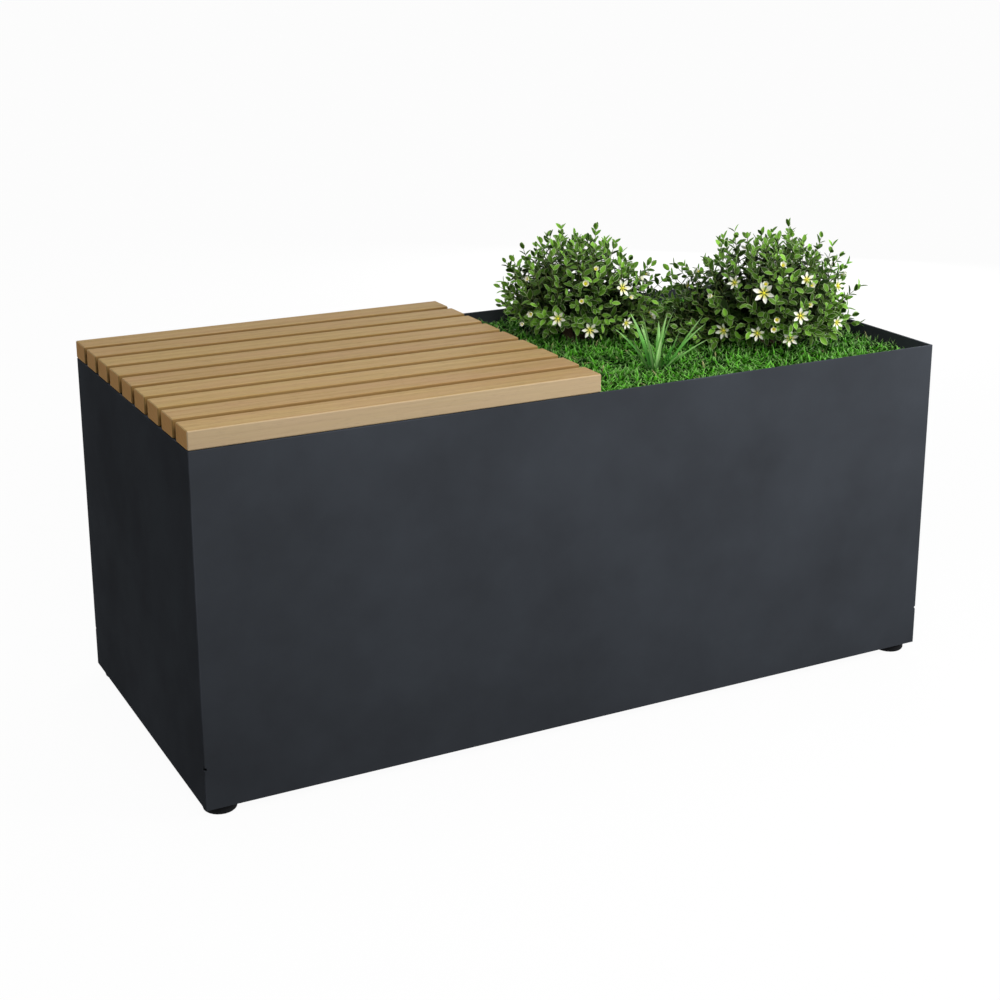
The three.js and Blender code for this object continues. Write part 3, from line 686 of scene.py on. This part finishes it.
ranges = {
    "turn": (-math.pi, math.pi),
    "lean": (given["Lean least"], given["Lean most"]),
    "bend": (given["Bend least"], given["Bend most"]),
    "size": (given["Shortest"], 1.0),
    "shade": (0.0, 1.0),
}
marks = {"root": root}
for salt, (title, limits) in enumerate(ranges.items()):
    marks[title] = drawn(given["Seed"], salt, *limits)
turn = put("ShaderNodeMath", marks["turn"], given["Spread"], operation="MULTIPLY")
marks["turn"] = put("ShaderNodeMath", turn, radial, operation="ADD")[0]
for title, value in marks.items():
    kind = "FLOAT_VECTOR" if title == "root" else "FLOAT"
    mark = {0: points, "Name": title, "Value": value}
    points = put("GeometryNodeStoreNamedAttribute", mark, data_type=kind, domain="POINT")
shape = put("GeometryNodeObjectInfo", given["Blade"])
blades = put("GeometryNodeInstanceOnPoints", {"Points": points, "Instance": shape["Geometry"]})
blades = put("GeometryNodeRealizeInstances", blades)
kept = {
    title: put("GeometryNodeInputNamedAttribute", {"Name": title}, data_type=kind)[0]
    for kind, titles in {"FLOAT": ("turn", "lean", "bend", "size", "up"), "FLOAT_VECTOR": ("root",)}.items()
    for title in titles
}
inside = put("GeometryNodeInputPosition")
inside = put("ShaderNodeVectorMath", inside, kept["root"], operation="SUBTRACT")
inside = put("ShaderNodeSeparateXYZ", inside)
tilt = put("ShaderNodeMath", kept["bend"], kept["up"], kept["lean"], operation="MULTIPLY_ADD")
height = put("ShaderNodeMath", kept["size"], given["Length"], operation="MULTIPLY")
height = put("ShaderNodeMath", height, kept["up"], operation="MULTIPLY")
sine = put("ShaderNodeMath", tilt, operation="SINE")
cosine = put("ShaderNodeMath", tilt, operation="COSINE")
out = put("ShaderNodeMath", height, sine, operation="MULTIPLY")
out_back = put("ShaderNodeMath", inside[1], cosine, out, operation="MULTIPLY_ADD")
rise = put("ShaderNodeMath", height, cosine, operation="MULTIPLY")
dip = put("ShaderNodeMath", inside[1], sine, operation="MULTIPLY")
rise = put("ShaderNodeMath", rise, dip, operation="SUBTRACT")
laid = put("ShaderNodeCombineXYZ", out_back, inside[0], rise)
placed = put("ShaderNodeVectorRotate", {"Vector": laid, "Angle": kept["turn"]}, rotation_type="Z_AXIS")
for operation, value in (("ADD", kept["root"]), ("MAXIMUM", given["Low"]), ("MINIMUM", given["High"])):
    placed = put("ShaderNodeVectorMath", placed, value, operation=operation)
ended(put("GeometryNodeSetPosition", {"Geometry": blades, "Position": placed}), given["Finish"])

patch_size = 45 * mm


def grass_finish(name, foot, young, old, tip, patchiness, gloss, shaded):
    """Waxy skin of a blade: darkened towards the foot as painted shade, paler at the tip and along the rib,
    in patches of younger and older green, with a few withered blades."""
    finish, place = new_finish(name)
    up, shade, rib = (put("ShaderNodeAttribute", attribute_name=n)["Fac"] for n in ("up", "shade", "rib"))
    patches = put("ShaderNodeTexNoise", {"Vector": place, "Scale": 1 / patch_size, "Detail": 2.0})
    patch = put("ShaderNodeMapRange", patches, 0.35, 0.65, -patchiness, patchiness)
    age = put("ShaderNodeMath", shade, patch, operation="ADD", use_clamp=True)
    near_tip = put("ShaderNodeMapRange", up, 0.55, 1.0, 0.0, 0.6)
    ribbed = put("ShaderNodeMath", rib, 0.7, operation="MULTIPLY")
    withered = put("ShaderNodeMath", shade, 0.985, operation="GREATER_THAN")
    # Painted shade: the lower part of each blade goes to the foot colour
    low = put("ShaderNodeMapRange", up, 0.0, shaded, 1.0, 0.0)
    layers = ((age, young), (near_tip, tip), (ribbed, tip), (withered, "b4b27c"), (low, foot))
    colour = linear(old)
    for share, layer in layers:
        colour = put("ShaderNodeMix", {0: share, 6: colour, 7: linear(layer)}, data_type="RGBA")[2]
    finished({"Base Color": colour, "Roughness": gloss, "Specular IOR Level": 0.05})
    return finish


turf_skin = grass_finish(
    "waxy_turf_blades", "010400",
    young="68cc2e", old="053005", tip="bce694", patchiness=0.2, gloss=0.36, shaded=0.8,
)
turf_blade = blade_shape("turf_blade", width=2.8 * mm, thickness=0.6 * mm, fullness=(0.8, 1.0))
wall_clearance = 0.6 * mm
grass_low = Vector([side + wall_clearance for side in turf_low])
grass_high = Vector((turf_high.x - wall_clearance, turf_high.y - wall_clearance, 1.0))
for half, seed in (("a", 1), ("b", 2)):
    turf_sizes = {
        "Density": 33000.0,  # blades on a square metre
        "Length": 21 * mm,
        "Shortest": 0.45,
        "Lean least": 0.3,
        "Lean most": 1.3,
        "Bend least": 0.0,
        "Bend most": 0.6,
        "Spread": 1.0,
        "Middle": Vector((0.25, 0.0, 0.0)),
        "Low": grass_low,
        "High": grass_high,
        "Blade": turf_blade,
        "Finish": turf_skin,
        "Seed": seed,
    }
    blades = grown(f"turf_blades_{half}", grass, turf_sizes, mat.data.copy())
    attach(blades, "box")
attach(mat, "box")
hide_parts("turf_mat")
bpy.data.objects.remove(turf_blade)


# Shrubs: woody branches from a collar at soil level, thin green twigs that turn upwards, and small
# oval leaves in crossed pairs along them, each leaf with a pale margin. They grow in the soil.
bark_grain = 3 * mm
bark_relief = 0.6 * mm
# Young bark: dark brown, with lighter ridges
bark, place = new_finish("young_bark")
ridges, colour = two_tones(place, bark_grain, "2a2016", "6b5339", {"Detail": 5.0, "Roughness": 0.7})
raised = put("ShaderNodeBump", {"Strength": 0.6, "Distance": bark_relief, "Height": ridges})
finished({"Base Color": colour, "Roughness": 0.85, "Normal": raised})
coat(["shrub_left_branches", "shrub_right_branches"], bark)

# Twigs: green to brown skin
twig_skin, place = new_finish("green_twig")
colour = two_tones(place, bark_grain, "4d4a26", "6f8440", {"Detail": 2.0})[1]
finished({"Base Color": colour, "Roughness": 0.6})

leaf_thickness = 0.35 * mm


def folded(name, length, half_width, fold, curl, rows):
    """A closed leaf or petal along +Z with its upper side to +Y, folded along its middle and curling back."""
    points = [(0, 0, 0)]
    for share, full in rows:
        z, x = length * share, half_width * full
        back = -curl * share * share
        points += [(-x, back + fold * full, z), (0, back, z), (x, back + fold * full, z)]
        points.append((0, back - leaf_thickness, z))
    points.append((0, -curl, length))
    faces, tip = [], len(points) - 1
    for k in range(4):
        after = (k + 1) % 4
        faces.append((0, 1 + k, 1 + after))
        for low in range(1, tip - 4, 4):
            faces.append((low + k, low + 4 + k, low + 4 + after, low + after))
        faces.append((tip - 4 + k, tip, tip - 4 + after))
    return mesh_of(name, points, faces)


# A leaf, 19 by 10 mm before its shrub scales it, that keeps which points lie on its rim
leaf_rows = [(0.2, 0.7), (0.5, 1.0), (0.81, 0.66)]
leaf = folded("leaf", length=19 * mm, half_width=5.2 * mm, fold=1.2 * mm, curl=2.2 * mm, rows=leaf_rows)
rim = [1.0] + [1.0, 0.0, 1.0, 0.3] * len(leaf_rows) + [1.0]
leaf.attributes.new("rim", "FLOAT", "POINT").data.foreach_set("value", rim)
leaf_shape = new_object("leaf_shape", leaf)

# Leaf: glossy green, lighter on some than on others, with a cream-green margin and a paler midrib;
# leaves further down the twig, deeper in the crown, are darkened as painted shade.
leaf_skin = new_finish("variegated_leaf")[0]
rim, shade, depth = (put("ShaderNodeAttribute", attribute_name=n)["Fac"] for n in ("rim", "shade", "depth"))
margin = put("ShaderNodeMapRange", rim, 0.74, 0.96, 0.0, 0.75)
midrib = put("ShaderNodeMapRange", rim, 0.0, 0.1, 0.5, 0.0)
# Painted shade on leaves that sit deep in the crown
painted_inner_shade = put("ShaderNodeMapRange", depth, 0.0, 1.0, 0.0, 0.92)
colour = linear("204408")
for share, layer in ((shade, "90cc48"), (margin, "d2e2b0"), (midrib, "86ac4c"), (painted_inner_shade, "0c1a04")):
    colour = put("ShaderNodeMix", {0: share, 6: colour, 7: linear(layer)}, data_type="RGBA")[2]
finished({"Base Color": colour, "Roughness": 0.42, "Specular IOR Level": 0.06})

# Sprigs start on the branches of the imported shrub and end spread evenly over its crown
golden_angle = math.pi * (3 - math.sqrt(5))
branch_count = 6
branch_step = 2 * math.pi / branch_count
branch_leans = (0.55, 0.95)
branch_length = 80 * mm
branch_offset = 6.7 * mm
branch_foot = 4 * mm
lowest_twig, highest_twig = 0.45, 0.98  # where twigs leave a branch, as shares of its length
crowding = 1.2  # over one, sprigs stand closer at the top
lump_scale = 2.2
handle_share, twig_sag, twig_taper = 0.55, -0.16, 0.45
twig_steps = 9
young_length = 28 * mm
# How far down a twig the painted shade on its leaves starts and becomes full
deep_from, deep_to = 5 * mm, 34 * mm
given = new_tree(
    "sprigs_of_a_shrub",
    Int=["Sprigs", "Seed"],
    Vector=["Foot", "Reach", "Bulge"],
    Float=[
        "Reach down", "Middle height", "Wrap", "Unevenness", "Lumps", "Turn",
        "Leafy length", "Leaf spacing", "Leaf size", "Twig radius",
    ],
    Bool=["Twigs"],
    Object=["Leaf"],
)
sprigs = tree
count = put("GeometryNodeInputIndex")[0]
share = count
steps = (("ADD", 0.5), ("DIVIDE", given["Sprigs"]), ("POWER", crowding), ("MULTIPLY", given["Wrap"]))
for step, other in steps:
    share = put("ShaderNodeMath", share, other, operation=step)
height = put("ShaderNodeMath", 1.0, share, operation="SUBTRACT")
square = put("ShaderNodeMath", height, height, operation="MULTIPLY")
flat = put("ShaderNodeMath", 1.0, square, operation="SUBTRACT")
flat = put("ShaderNodeMath", flat, operation="SQRT")
angle = put("ShaderNodeMath", count, golden_angle, given["Turn"], operation="MULTIPLY_ADD")
cosine, sine = (put("ShaderNodeMath", angle, operation=name) for name in ("COSINE", "SINE"))
way_x, way_y = (put("ShaderNodeMath", part, flat, operation="MULTIPLY") for part in (cosine, sine))
way = put("ShaderNodeCombineXYZ", way_x, way_y, height)
reach = put("ShaderNodeSeparateXYZ", given["Reach"])
above = put("FunctionNodeCompare", height, 0.0, operation="GREATER_THAN")
reach_z = put("GeometryNodeSwitch", above, given["Reach down"], reach[2], input_type="FLOAT")
reach = put("ShaderNodeCombineXYZ", reach[0], reach[1], reach_z)
uneven = put("FunctionNodeRandomValue", {2: 0.0, 3: 1.0, "Seed": given["Seed"]})[1]
uneven = put("ShaderNodeMath", uneven, 0.6, operation="POWER")
uneven = put("ShaderNodeMath", uneven, given["Unevenness"], operation="MULTIPLY")
full = put("ShaderNodeMath", 1.0, uneven, operation="SUBTRACT")
lump = put("ShaderNodeVectorMath", way, given["Foot"], operation="ADD")
lump = put("ShaderNodeTexNoise", {"Vector": lump, "Scale": lump_scale, "Detail": 1.0})
lump = put("ShaderNodeMapRange", lump, 0.35, 0.65, 0.0, given["Lumps"])
full = put("ShaderNodeMath", full, lump, operation="SUBTRACT")
tip = put("ShaderNodeVectorMath", way, reach, operation="MULTIPLY")
tip = put("ShaderNodeVectorMath", {0: tip, "Scale": full}, operation="SCALE")
toward = put("ShaderNodeVectorMath", given["Bulge"], operation="NORMALIZE")
toward = put("ShaderNodeVectorMath", toward, way, operation="DOT_PRODUCT")["Value"]
toward = put("ShaderNodeMath", toward, 0.0, operation="MAXIMUM")
bulge = put("ShaderNodeVectorMath", {0: given["Bulge"], "Scale": toward}, operation="SCALE")
lift = put("ShaderNodeCombineXYZ", 0.0, 0.0, given["Middle height"])
for part in (bulge, given["Foot"], lift):
    tip = put("ShaderNodeVectorMath", tip, part, operation="ADD")
# The nearest branch, by its number round the collar, and a place along it
number = put("ShaderNodeMath", count, golden_angle / branch_step, operation="MULTIPLY")
number = put("ShaderNodeMath", number, operation="ROUND")
branch_angle = put("ShaderNodeMath", number, branch_step, given["Turn"], operation="MULTIPLY_ADD")
odd = put("ShaderNodeMath", number, 2.0, operation="FLOORED_MODULO")
lean = put("ShaderNodeMapRange", {0: odd, 3: branch_leans[0], 4: branch_leans[1]})
cosine, sine = (put("ShaderNodeMath", branch_angle, operation=name) for name in ("COSINE", "SINE"))
ray = put("ShaderNodeCombineXYZ", cosine, sine, 0.0)
leaning = put("ShaderNodeVectorMath", {0: ray, "Scale": lean}, operation="SCALE")
direction = put("ShaderNodeVectorMath", leaning, (0.0, 0.0, 1.0), operation="ADD")
direction = put("ShaderNodeVectorMath", direction, operation="NORMALIZE")
along = drawn(given["Seed"], 1, branch_length * lowest_twig, branch_length * highest_twig)
start = put("ShaderNodeVectorMath", {0: direction, "Scale": along}, operation="SCALE")
offset = put("ShaderNodeVectorMath", {0: ray, "Scale": branch_offset}, operation="SCALE")
for part in (offset, given["Foot"], (0.0, 0.0, branch_foot)):
    start = put("ShaderNodeVectorMath", start, part, operation="ADD")
# Each twig leaves its branch outwards and turns up towards its tip
span = put("ShaderNodeVectorMath", tip, start, operation="SUBTRACT")
sag = put("ShaderNodeVectorMath", span, operation="LENGTH")[1]
sag = put("ShaderNodeMath", sag, twig_sag, operation="MULTIPLY")
sag = put("ShaderNodeCombineXYZ", 0.0, 0.0, sag)
handle = put("ShaderNodeVectorMath", span, [handle_share] * 3, start, operation="MULTIPLY_ADD")
handle = put("ShaderNodeVectorMath", handle, sag, operation="ADD")
points = put("GeometryNodePoints", {"Count": given["Sprigs"]})
bends = {"start": start, "handle": handle, "tip": tip}
for title, value in bends.items():
    mark = {0: points, "Name": title, "Value": value}
    points = put("GeometryNodeStoreNamedAttribute", mark, data_type="FLOAT_VECTOR", domain="POINT")
line = put("GeometryNodeCurvePrimitiveLine", {"Start": (0.0, 0.0, 0.0), "End": (0.0, 0.0, 1.0)})
line = put("GeometryNodeResampleCurve", {"Curve": line, "Count": twig_steps})
twigs = put("GeometryNodeInstanceOnPoints", {"Points": points, "Instance": line})
twigs = put("GeometryNodeRealizeInstances", twigs)
start, handle, tip = (
    put("GeometryNodeInputNamedAttribute", {"Name": title}, data_type="FLOAT_VECTOR")[0]
    for title in bends
)
way_up = put("GeometryNodeSplineParameter")["Factor"]
early, late = (
    put("ShaderNodeMix", {0: way_up, 4: low, 5: high}, data_type="VECTOR")[1]
    for low, high in ((start, handle), (handle, tip))
)
curved = put("ShaderNodeMix", {0: way_up, 4: early, 5: late}, data_type="VECTOR")[1]
twigs = put("GeometryNodeSetPosition", {"Geometry": twigs, "Position": curved})
# Twigs as three-sided rods
taper = put("ShaderNodeMapRange", {0: way_up, 3: 1.0, 4: twig_taper})
rods = put("GeometryNodeSetCurveRadius", {"Curve": twigs, "Radius": taper})
bar = put("GeometryNodeCurvePrimitiveCircle", {"Resolution": 3, "Radius": given["Twig radius"]})
rods = {"Curve": rods, "Profile Curve": bar, "Scale": taper, "Fill Caps": True}
rods = put("GeometryNodeCurveToMesh", rods)
# Leaves in crossed pairs, on the last stretch of each twig
spacing = {"Curve": twigs, "Length": given["Leaf spacing"]}
spaced = put("GeometryNodeResampleCurve", spacing, mode="LENGTH")
passed = put("GeometryNodeSplineParameter")["Length"]
left_over = put("GeometryNodeSplineLength")
left_over = put("ShaderNodeMath", left_over, passed, operation="SUBTRACT")
mark = {0: spaced, "Name": "left_over", "Value": left_over}
spaced = put("GeometryNodeStoreNamedAttribute", mark, data_type="FLOAT", domain="POINT")
knots = put("GeometryNodeCurveToPoints", spaced, mode="EVALUATED")
left_over = put("GeometryNodeInputNamedAttribute", {"Name": "left_over"}, data_type="FLOAT")[0]
leafy = put("FunctionNodeCompare", left_over, given["Leafy length"], operation="LESS_THAN")
order = put("GeometryNodeInputIndex")
crossed = put("ShaderNodeMath", order, math.pi / 2, operation="MULTIPLY")
young = put("ShaderNodeMapRange", left_over, 0.0, young_length)
leaf_tilt = put("ShaderNodeMapRange", {0: young, 3: 0.42, 4: 1.15})
leaf_growth = put("ShaderNodeMapRange", {0: young, 3: 0.78, 4: 1.0})
# How deep each leaf sits in the crown, which the leaf finish turns into painted shade
deep = put("ShaderNodeMapRange", left_over, deep_from, deep_to)
# How far chance turns a leaf round its twig and bends it away, its size, its tone and its twist
leaf_chances = [(-0.5, 0.5), (-0.25, 0.4), (0.7, 1.15), (0.0, 1.0), (-0.6, 0.6)]
shape = put("GeometryNodeObjectInfo", given["Leaf"])
join = tree.nodes.new("GeometryNodeJoinGeometry")
for side in (0, 1):
    chances = [drawn(given["Seed"], 10 * side + 2 + k, *limits) for k, limits in enumerate(leaf_chances)]
    roll = put("ShaderNodeMath", crossed, math.pi * side, operation="ADD")
    roll = put("ShaderNodeMath", roll, chances[0], operation="ADD")
    tilt = put("ShaderNodeMath", leaf_tilt, chances[1], operation="ADD")
    turned = knots["Rotation"]
    for axle, turn in (((0.0, 0.0, 1.0), roll), ((1.0, 0.0, 0.0), tilt), ((0.0, 0.0, 1.0), chances[4])):
        turn = put("FunctionNodeAxisAngleToRotation", axle, turn)
        turned = put("FunctionNodeRotateRotation", turned, turn, rotation_space="LOCAL")
    size = put("ShaderNodeMath", leaf_growth, chances[2], operation="MULTIPLY")
    size = put("ShaderNodeMath", size, given["Leaf size"], operation="MULTIPLY")
    leafing = {"Points": knots, "Selection": leafy, "Instance": shape["Geometry"], "Rotation": turned}
    leaves = put("GeometryNodeInstanceOnPoints", {**leafing, "Scale": size})
    for title, value in (("shade", chances[3]), ("depth", deep)):
        mark = {0: leaves, "Name": title, "Value": value}
        leaves = put("GeometryNodeStoreNamedAttribute", mark, data_type="FLOAT", domain="INSTANCE")
    tree.links.new(leaves[0], join.inputs[0])
shown = put("GeometryNodeSwitch", given["Twigs"], join.outputs, rods, input_type="GEOMETRY")
ended(shown, given["Finish"])

soil_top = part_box("soil")[1].z
shrub_places = {
    "left": {
        "Foot": Vector((0.1538, 0.1050, soil_top)),
        "Reach": Vector((121, 122, 116)) * mm,
        "Bulge": Vector((44, -8, -24)) * mm,
        "Turn": 0.4,
        "Sprigs": 220,
        "Seed": 5,
    },
    "right": {
        "Foot": Vector((0.3744, -0.0449, soil_top)),
        "Reach": Vector((124, 148, 122)) * mm,
        "Bulge": Vector((-52, 40, -22)) * mm,
        "Turn": 2.1,
        "Sprigs": 250,
        "Seed": 8,
    },
}
for side, measures in shrub_places.items():
    common = {
        **measures,
        "Reach down": 38 * mm,
        "Middle height": 56 * mm,
        "Wrap": 1.66,
        "Unevenness": 0.3,
        "Lumps": 0.09,
        "Leafy length": 96 * mm,
        "Leaf spacing": 8.0 * mm,
        "Leaf size": 0.82,
        "Twig radius": 0.9 * mm,
        "Leaf": leaf_shape,
    }
    leaves = grown(f"shrub_{side}_leaves", sprigs, {**common, "Twigs": False, "Finish": leaf_skin})
    rods = grown(f"shrub_{side}_twigs", sprigs, {**common, "Twigs": True, "Finish": twig_skin})
    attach(leaves, "box")
    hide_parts(f"shrub_{side}_crown")
    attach(rods, "box")
bpy.data.objects.remove(leaf_shape)


# Flowers: six white petals round a yellow heart, on a thin green stalk that comes out of the crown;
# the small ones have only half opened.
petal_rows = [(0.24, 0.5), (0.54, 1.0), (0.82, 0.62)]
petal_count = 6
petal_half_width = 2.3 * mm
petal_fold = 0.5 * mm
heart_radius = 1.6 * mm
heart_sides = 7
stalk_radius = 0.7 * mm
stalk_length = 24 * mm
stalk_sides = 4


def flower(name, petal_length, opening, bulge):
    """A flower facing +Z. It keeps how yellow each point is; the stalk is marked below zero."""
    petal = folded("petal", petal_length, petal_half_width, petal_fold, -bulge, petal_rows)
    yellow = [1.0] + [0.75] * 4 + [0.0] * 4 * (len(petal_rows) - 1) + [0.0]
    heart_profile = ((0.7, -0.4 * mm), (1.0, 0.8 * mm), (0.5, 2.0 * mm))
    stalk_profile = ((1.0, -stalk_length), (1.0, -2 * mm), (2.4, -0.5 * mm))
    heart_rings = [circle(heart_radius * wide, z, heart_sides) for wide, z in heart_profile]
    stalk_rings = [circle(stalk_radius * wide, z, stalk_sides) for wide, z in stalk_profile]
    out = Matrix.Translation((0, heart_radius * 0.6, 0))
    tilted = Matrix.Rotation(opening - math.pi / 2, 4, "X") @ Matrix.Rotation(math.pi, 4, "Z")
    turns = [Matrix.Rotation(2 * math.pi * k / petal_count, 4, "Z") for k in range(petal_count)]
    parts = [(petal, turn @ out @ tilted, yellow) for turn in turns]
    parts.append((ringed("heart", heart_rings, heart_sides), Matrix(), [1.0] * 3 * heart_sides))
    parts.append((ringed("stalk", stalk_rings, stalk_sides), Matrix(), [-1.0] * 3 * stalk_sides))
    points, faces, marks = [], [], []
    for mesh, way, part_marks in parts:
        faces += [[len(points) + k for k in face.vertices] for face in mesh.polygons]
        points += [way @ vertex.co for vertex in mesh.vertices]
        marks += part_marks
    whole = mesh_of(name, points, faces)
    whole.attributes.new("yellow", "FLOAT", "POINT").data.foreach_set("value", marks)
    return new_object(name, whole)


open_flower = flower("open_flower", petal_length=10.6 * mm, opening=0.28, bulge=0.9 * mm)
half_open_flower = flower("half_open_flower", petal_length=7.5 * mm, opening=0.95, bulge=1.4 * mm)

# Petals: soft matt white with faint veins 2 mm apart, yellow at the heart and green along the stalk
vein_spacing = 2 * mm
petals, place = new_finish("white_petals")
yellow = put("ShaderNodeAttribute", attribute_name="yellow")["Fac"]
stalk = put("ShaderNodeMath", yellow, 0.0, operation="LESS_THAN")
colour = two_tones(place, vein_spacing, "e6e8d8", "f6f6ee", {"Detail": 2.0})[1]
for share, layer in ((yellow, "e8e030"), (stalk, "6f9440")):
    colour = put("ShaderNodeMix", {0: share, 6: colour, 7: linear(layer)}, data_type="RGBA")[2]
finished({"Base Color": colour, "Roughness": 0.6, "Specular IOR Level": 0.3})

given = new_tree("flowers_on_a_shrub", Object=["Open", "Half open"], Int=["Seed"])
facing, size, openness = (
    put("GeometryNodeInputNamedAttribute", {"Name": title}, data_type=kind)[0]
    for title, kind in (("facing", "FLOAT_VECTOR"), ("size", "FLOAT"), ("openness", "FLOAT"))
)
roll = put("FunctionNodeRandomValue", {2: 0.0, 3: math.pi, "Seed": given["Seed"]})[1]
spin = put("FunctionNodeAxisAngleToRotation", (0.0, 0.0, 1.0), roll)
aimed = put("FunctionNodeAlignRotationToVector", {"Vector": facing}, axis="Z")
aimed = put("FunctionNodeRotateRotation", aimed, spin, rotation_space="LOCAL")
join = tree.nodes.new("GeometryNodeJoinGeometry")
for kind, test in (("Open", "GREATER_THAN"), ("Half open", "LESS_EQUAL")):
    chosen = put("FunctionNodeCompare", openness, 0.5, operation=test)
    shape = put("GeometryNodeObjectInfo", given[kind])
    flowering = {"Points": given["Geometry"], "Selection": chosen, "Instance": shape["Geometry"]}
    flowering |= {"Rotation": aimed, "Scale": size}
    tree.links.new(put("GeometryNodeInstanceOnPoints", flowering)[0], join.inputs[0])
ended(join.outputs, given["Finish"])

# Each flower's place from the foot of its shrub, and its width across, in mm
flower_places = {
    "left": {
        "open": [
            (-77, -88, 60, 21), (-37, -105, 43, 22), (12, -108, 97, 24), (15, -114, 49, 17),
            (62, 84, 70, 22), (-52, 98, 52, 20), (104, 22, 60, 21), (20, 84, 118, 20),
        ],
        "half open": [
            (-49, -102, 84, 11), (-40, -97, 106, 14), (-96, -39, 107, 11), (-101, -58, 63, 13),
            (-106, -43, 47, 10), (-21, -91, 123, 11), (48, -94, 104, 11), (22, -111, 84, 10),
            (62, -99, 56, 11), (70, -92, 48, 11), (-20, 108, 84, 12), (92, -40, 96, 12),
        ],
    },
    "right": {
        "open": [
            (-112, -44, 45, 22), (-88, -88, 48, 20), (-52, -112, 42, 21), (-44, -122, 74, 22),
            (-80, -88, 102, 28), (-100, -49, 111, 19), (-27, -110, 119, 20), (10, -131, 61, 18),
            (30, -104, 104, 20), (70, 96, 66, 22), (-40, 118, 60, 21), (100, 6, 66, 20),
            (-96, 70, 84, 20), (20, 92, 122, 21),
        ],
        "half open": [
            (-75, -85, 113, 12), (-23, -115, 112, 12), (-31, -123, 88, 11), (-71, -107, 69, 13),
            (-74, -105, 56, 13), (56, -80, 112, 12), (-92, 50, 108, 13), (-49, -86, 136, 13),
            (-117, -21, 89, 11), (40, 114, 84, 12), (98, 50, 88, 12),
        ],
    },
}
crown_middle = Vector((0.0, 0.0, 56.0))
seated = 0.96  # a flower's place is drawn in towards the middle, so that it sits in the leaves
widths = {"open": 21.0, "half open": 13.0}
for side, kinds in flower_places.items():
    listed = [(place, kind) for kind, places in kinds.items() for place in places]
    centres = [Vector(place[:3]) for place, kind in listed]
    facings = [((centre - crown_middle) * Vector((1.0, 1.0, 0.7))).normalized() for centre in centres]
    foot = shrub_places[side]["Foot"]
    seats = [foot + (crown_middle + (centre - crown_middle) * seated) * mm for centre in centres]
    points = mesh_of(f"flower_places_{side}", seats, [])
    facing = points.attributes.new("facing", "FLOAT_VECTOR", "POINT")
    facing.data.foreach_set("vector", [value for way in facings for value in way])
    size = points.attributes.new("size", "FLOAT", "POINT")
    size.data.foreach_set("value", [place[3] / widths[kind] for place, kind in listed])
    openness = points.attributes.new("openness", "FLOAT", "POINT")
    openness.data.foreach_set("value", [1.0 if kind == "open" else 0.0 for place, kind in listed])
    flower_kinds = {"Open": open_flower, "Half open": half_open_flower, "Finish": petals, "Seed": 3}
    flowers = grown(f"shrub_{side}_flowers", tree, flower_kinds, points)
    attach(flowers, "box")
bpy.data.objects.remove(open_flower)
bpy.data.objects.remove(half_open_flower)


# Tuft of grass: about twenty broad blades that arch out of one root in the turf, each folded along
# a paler midrib.
root_rise = 3 * mm
tuft_middle = Vector((0.1602, -0.0950, soil_top + root_rise))
tuft_root_radius = 12 * mm
root_sides = 16
tuft_blades = 22
tuft_rows = [(0.02, 0.55), (0.16, 0.8), (0.32, 1.0), (0.5, 0.98), (0.68, 0.8), (0.84, 0.5)]
blade = folded("tuft_blade", length=1.0, half_width=3.1 * mm, fold=1.1 * mm, curl=0.0, rows=tuft_rows)
ups = [0.0] + [share for share, full in tuft_rows for side in range(4)] + [1.0]
ribs = [0.0] + [0.0, 1.0, 0.0, 0.0] * len(tuft_rows) + [0.0]
blade.attributes.new("up", "FLOAT", "POINT").data.foreach_set("value", ups)
blade.attributes.new("rib", "FLOAT", "POINT").data.foreach_set("value", ribs)
tuft_blade = new_object("tuft_blade", blade)
tuft_skin = grass_finish(
    "broad_grass_blade", "2a6c20",
    young="94d070", old="55a642", tip="c6e6a4", patchiness=0.1, gloss=0.4, shaded=0.5,
)
disc = mesh_of("tuft_root", circle(tuft_root_radius, 0.0, root_sides), [tuple(range(root_sides))])
disc.transform(Matrix.Translation(tuft_middle))
tuft_sizes = {
    "Density": tuft_blades / (math.pi * tuft_root_radius**2),
    "Length": 88 * mm,
    "Shortest": 0.6,
    "Lean least": 0.0,
    "Lean most": 0.74,
    "Bend least": 0.05,
    "Bend most": 0.35,
    "Spread": 0.25,
    "Middle": tuft_middle,
    "Low": grass_low,
    "High": grass_high,
    "Blade": tuft_blade,
    "Finish": tuft_skin,
    "Seed": 9,
}
tuft = grown("tuft_blades", grass, tuft_sizes, disc)
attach(tuft, "box")
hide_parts("grass_tuft")
bpy.data.objects.remove(tuft_blade)
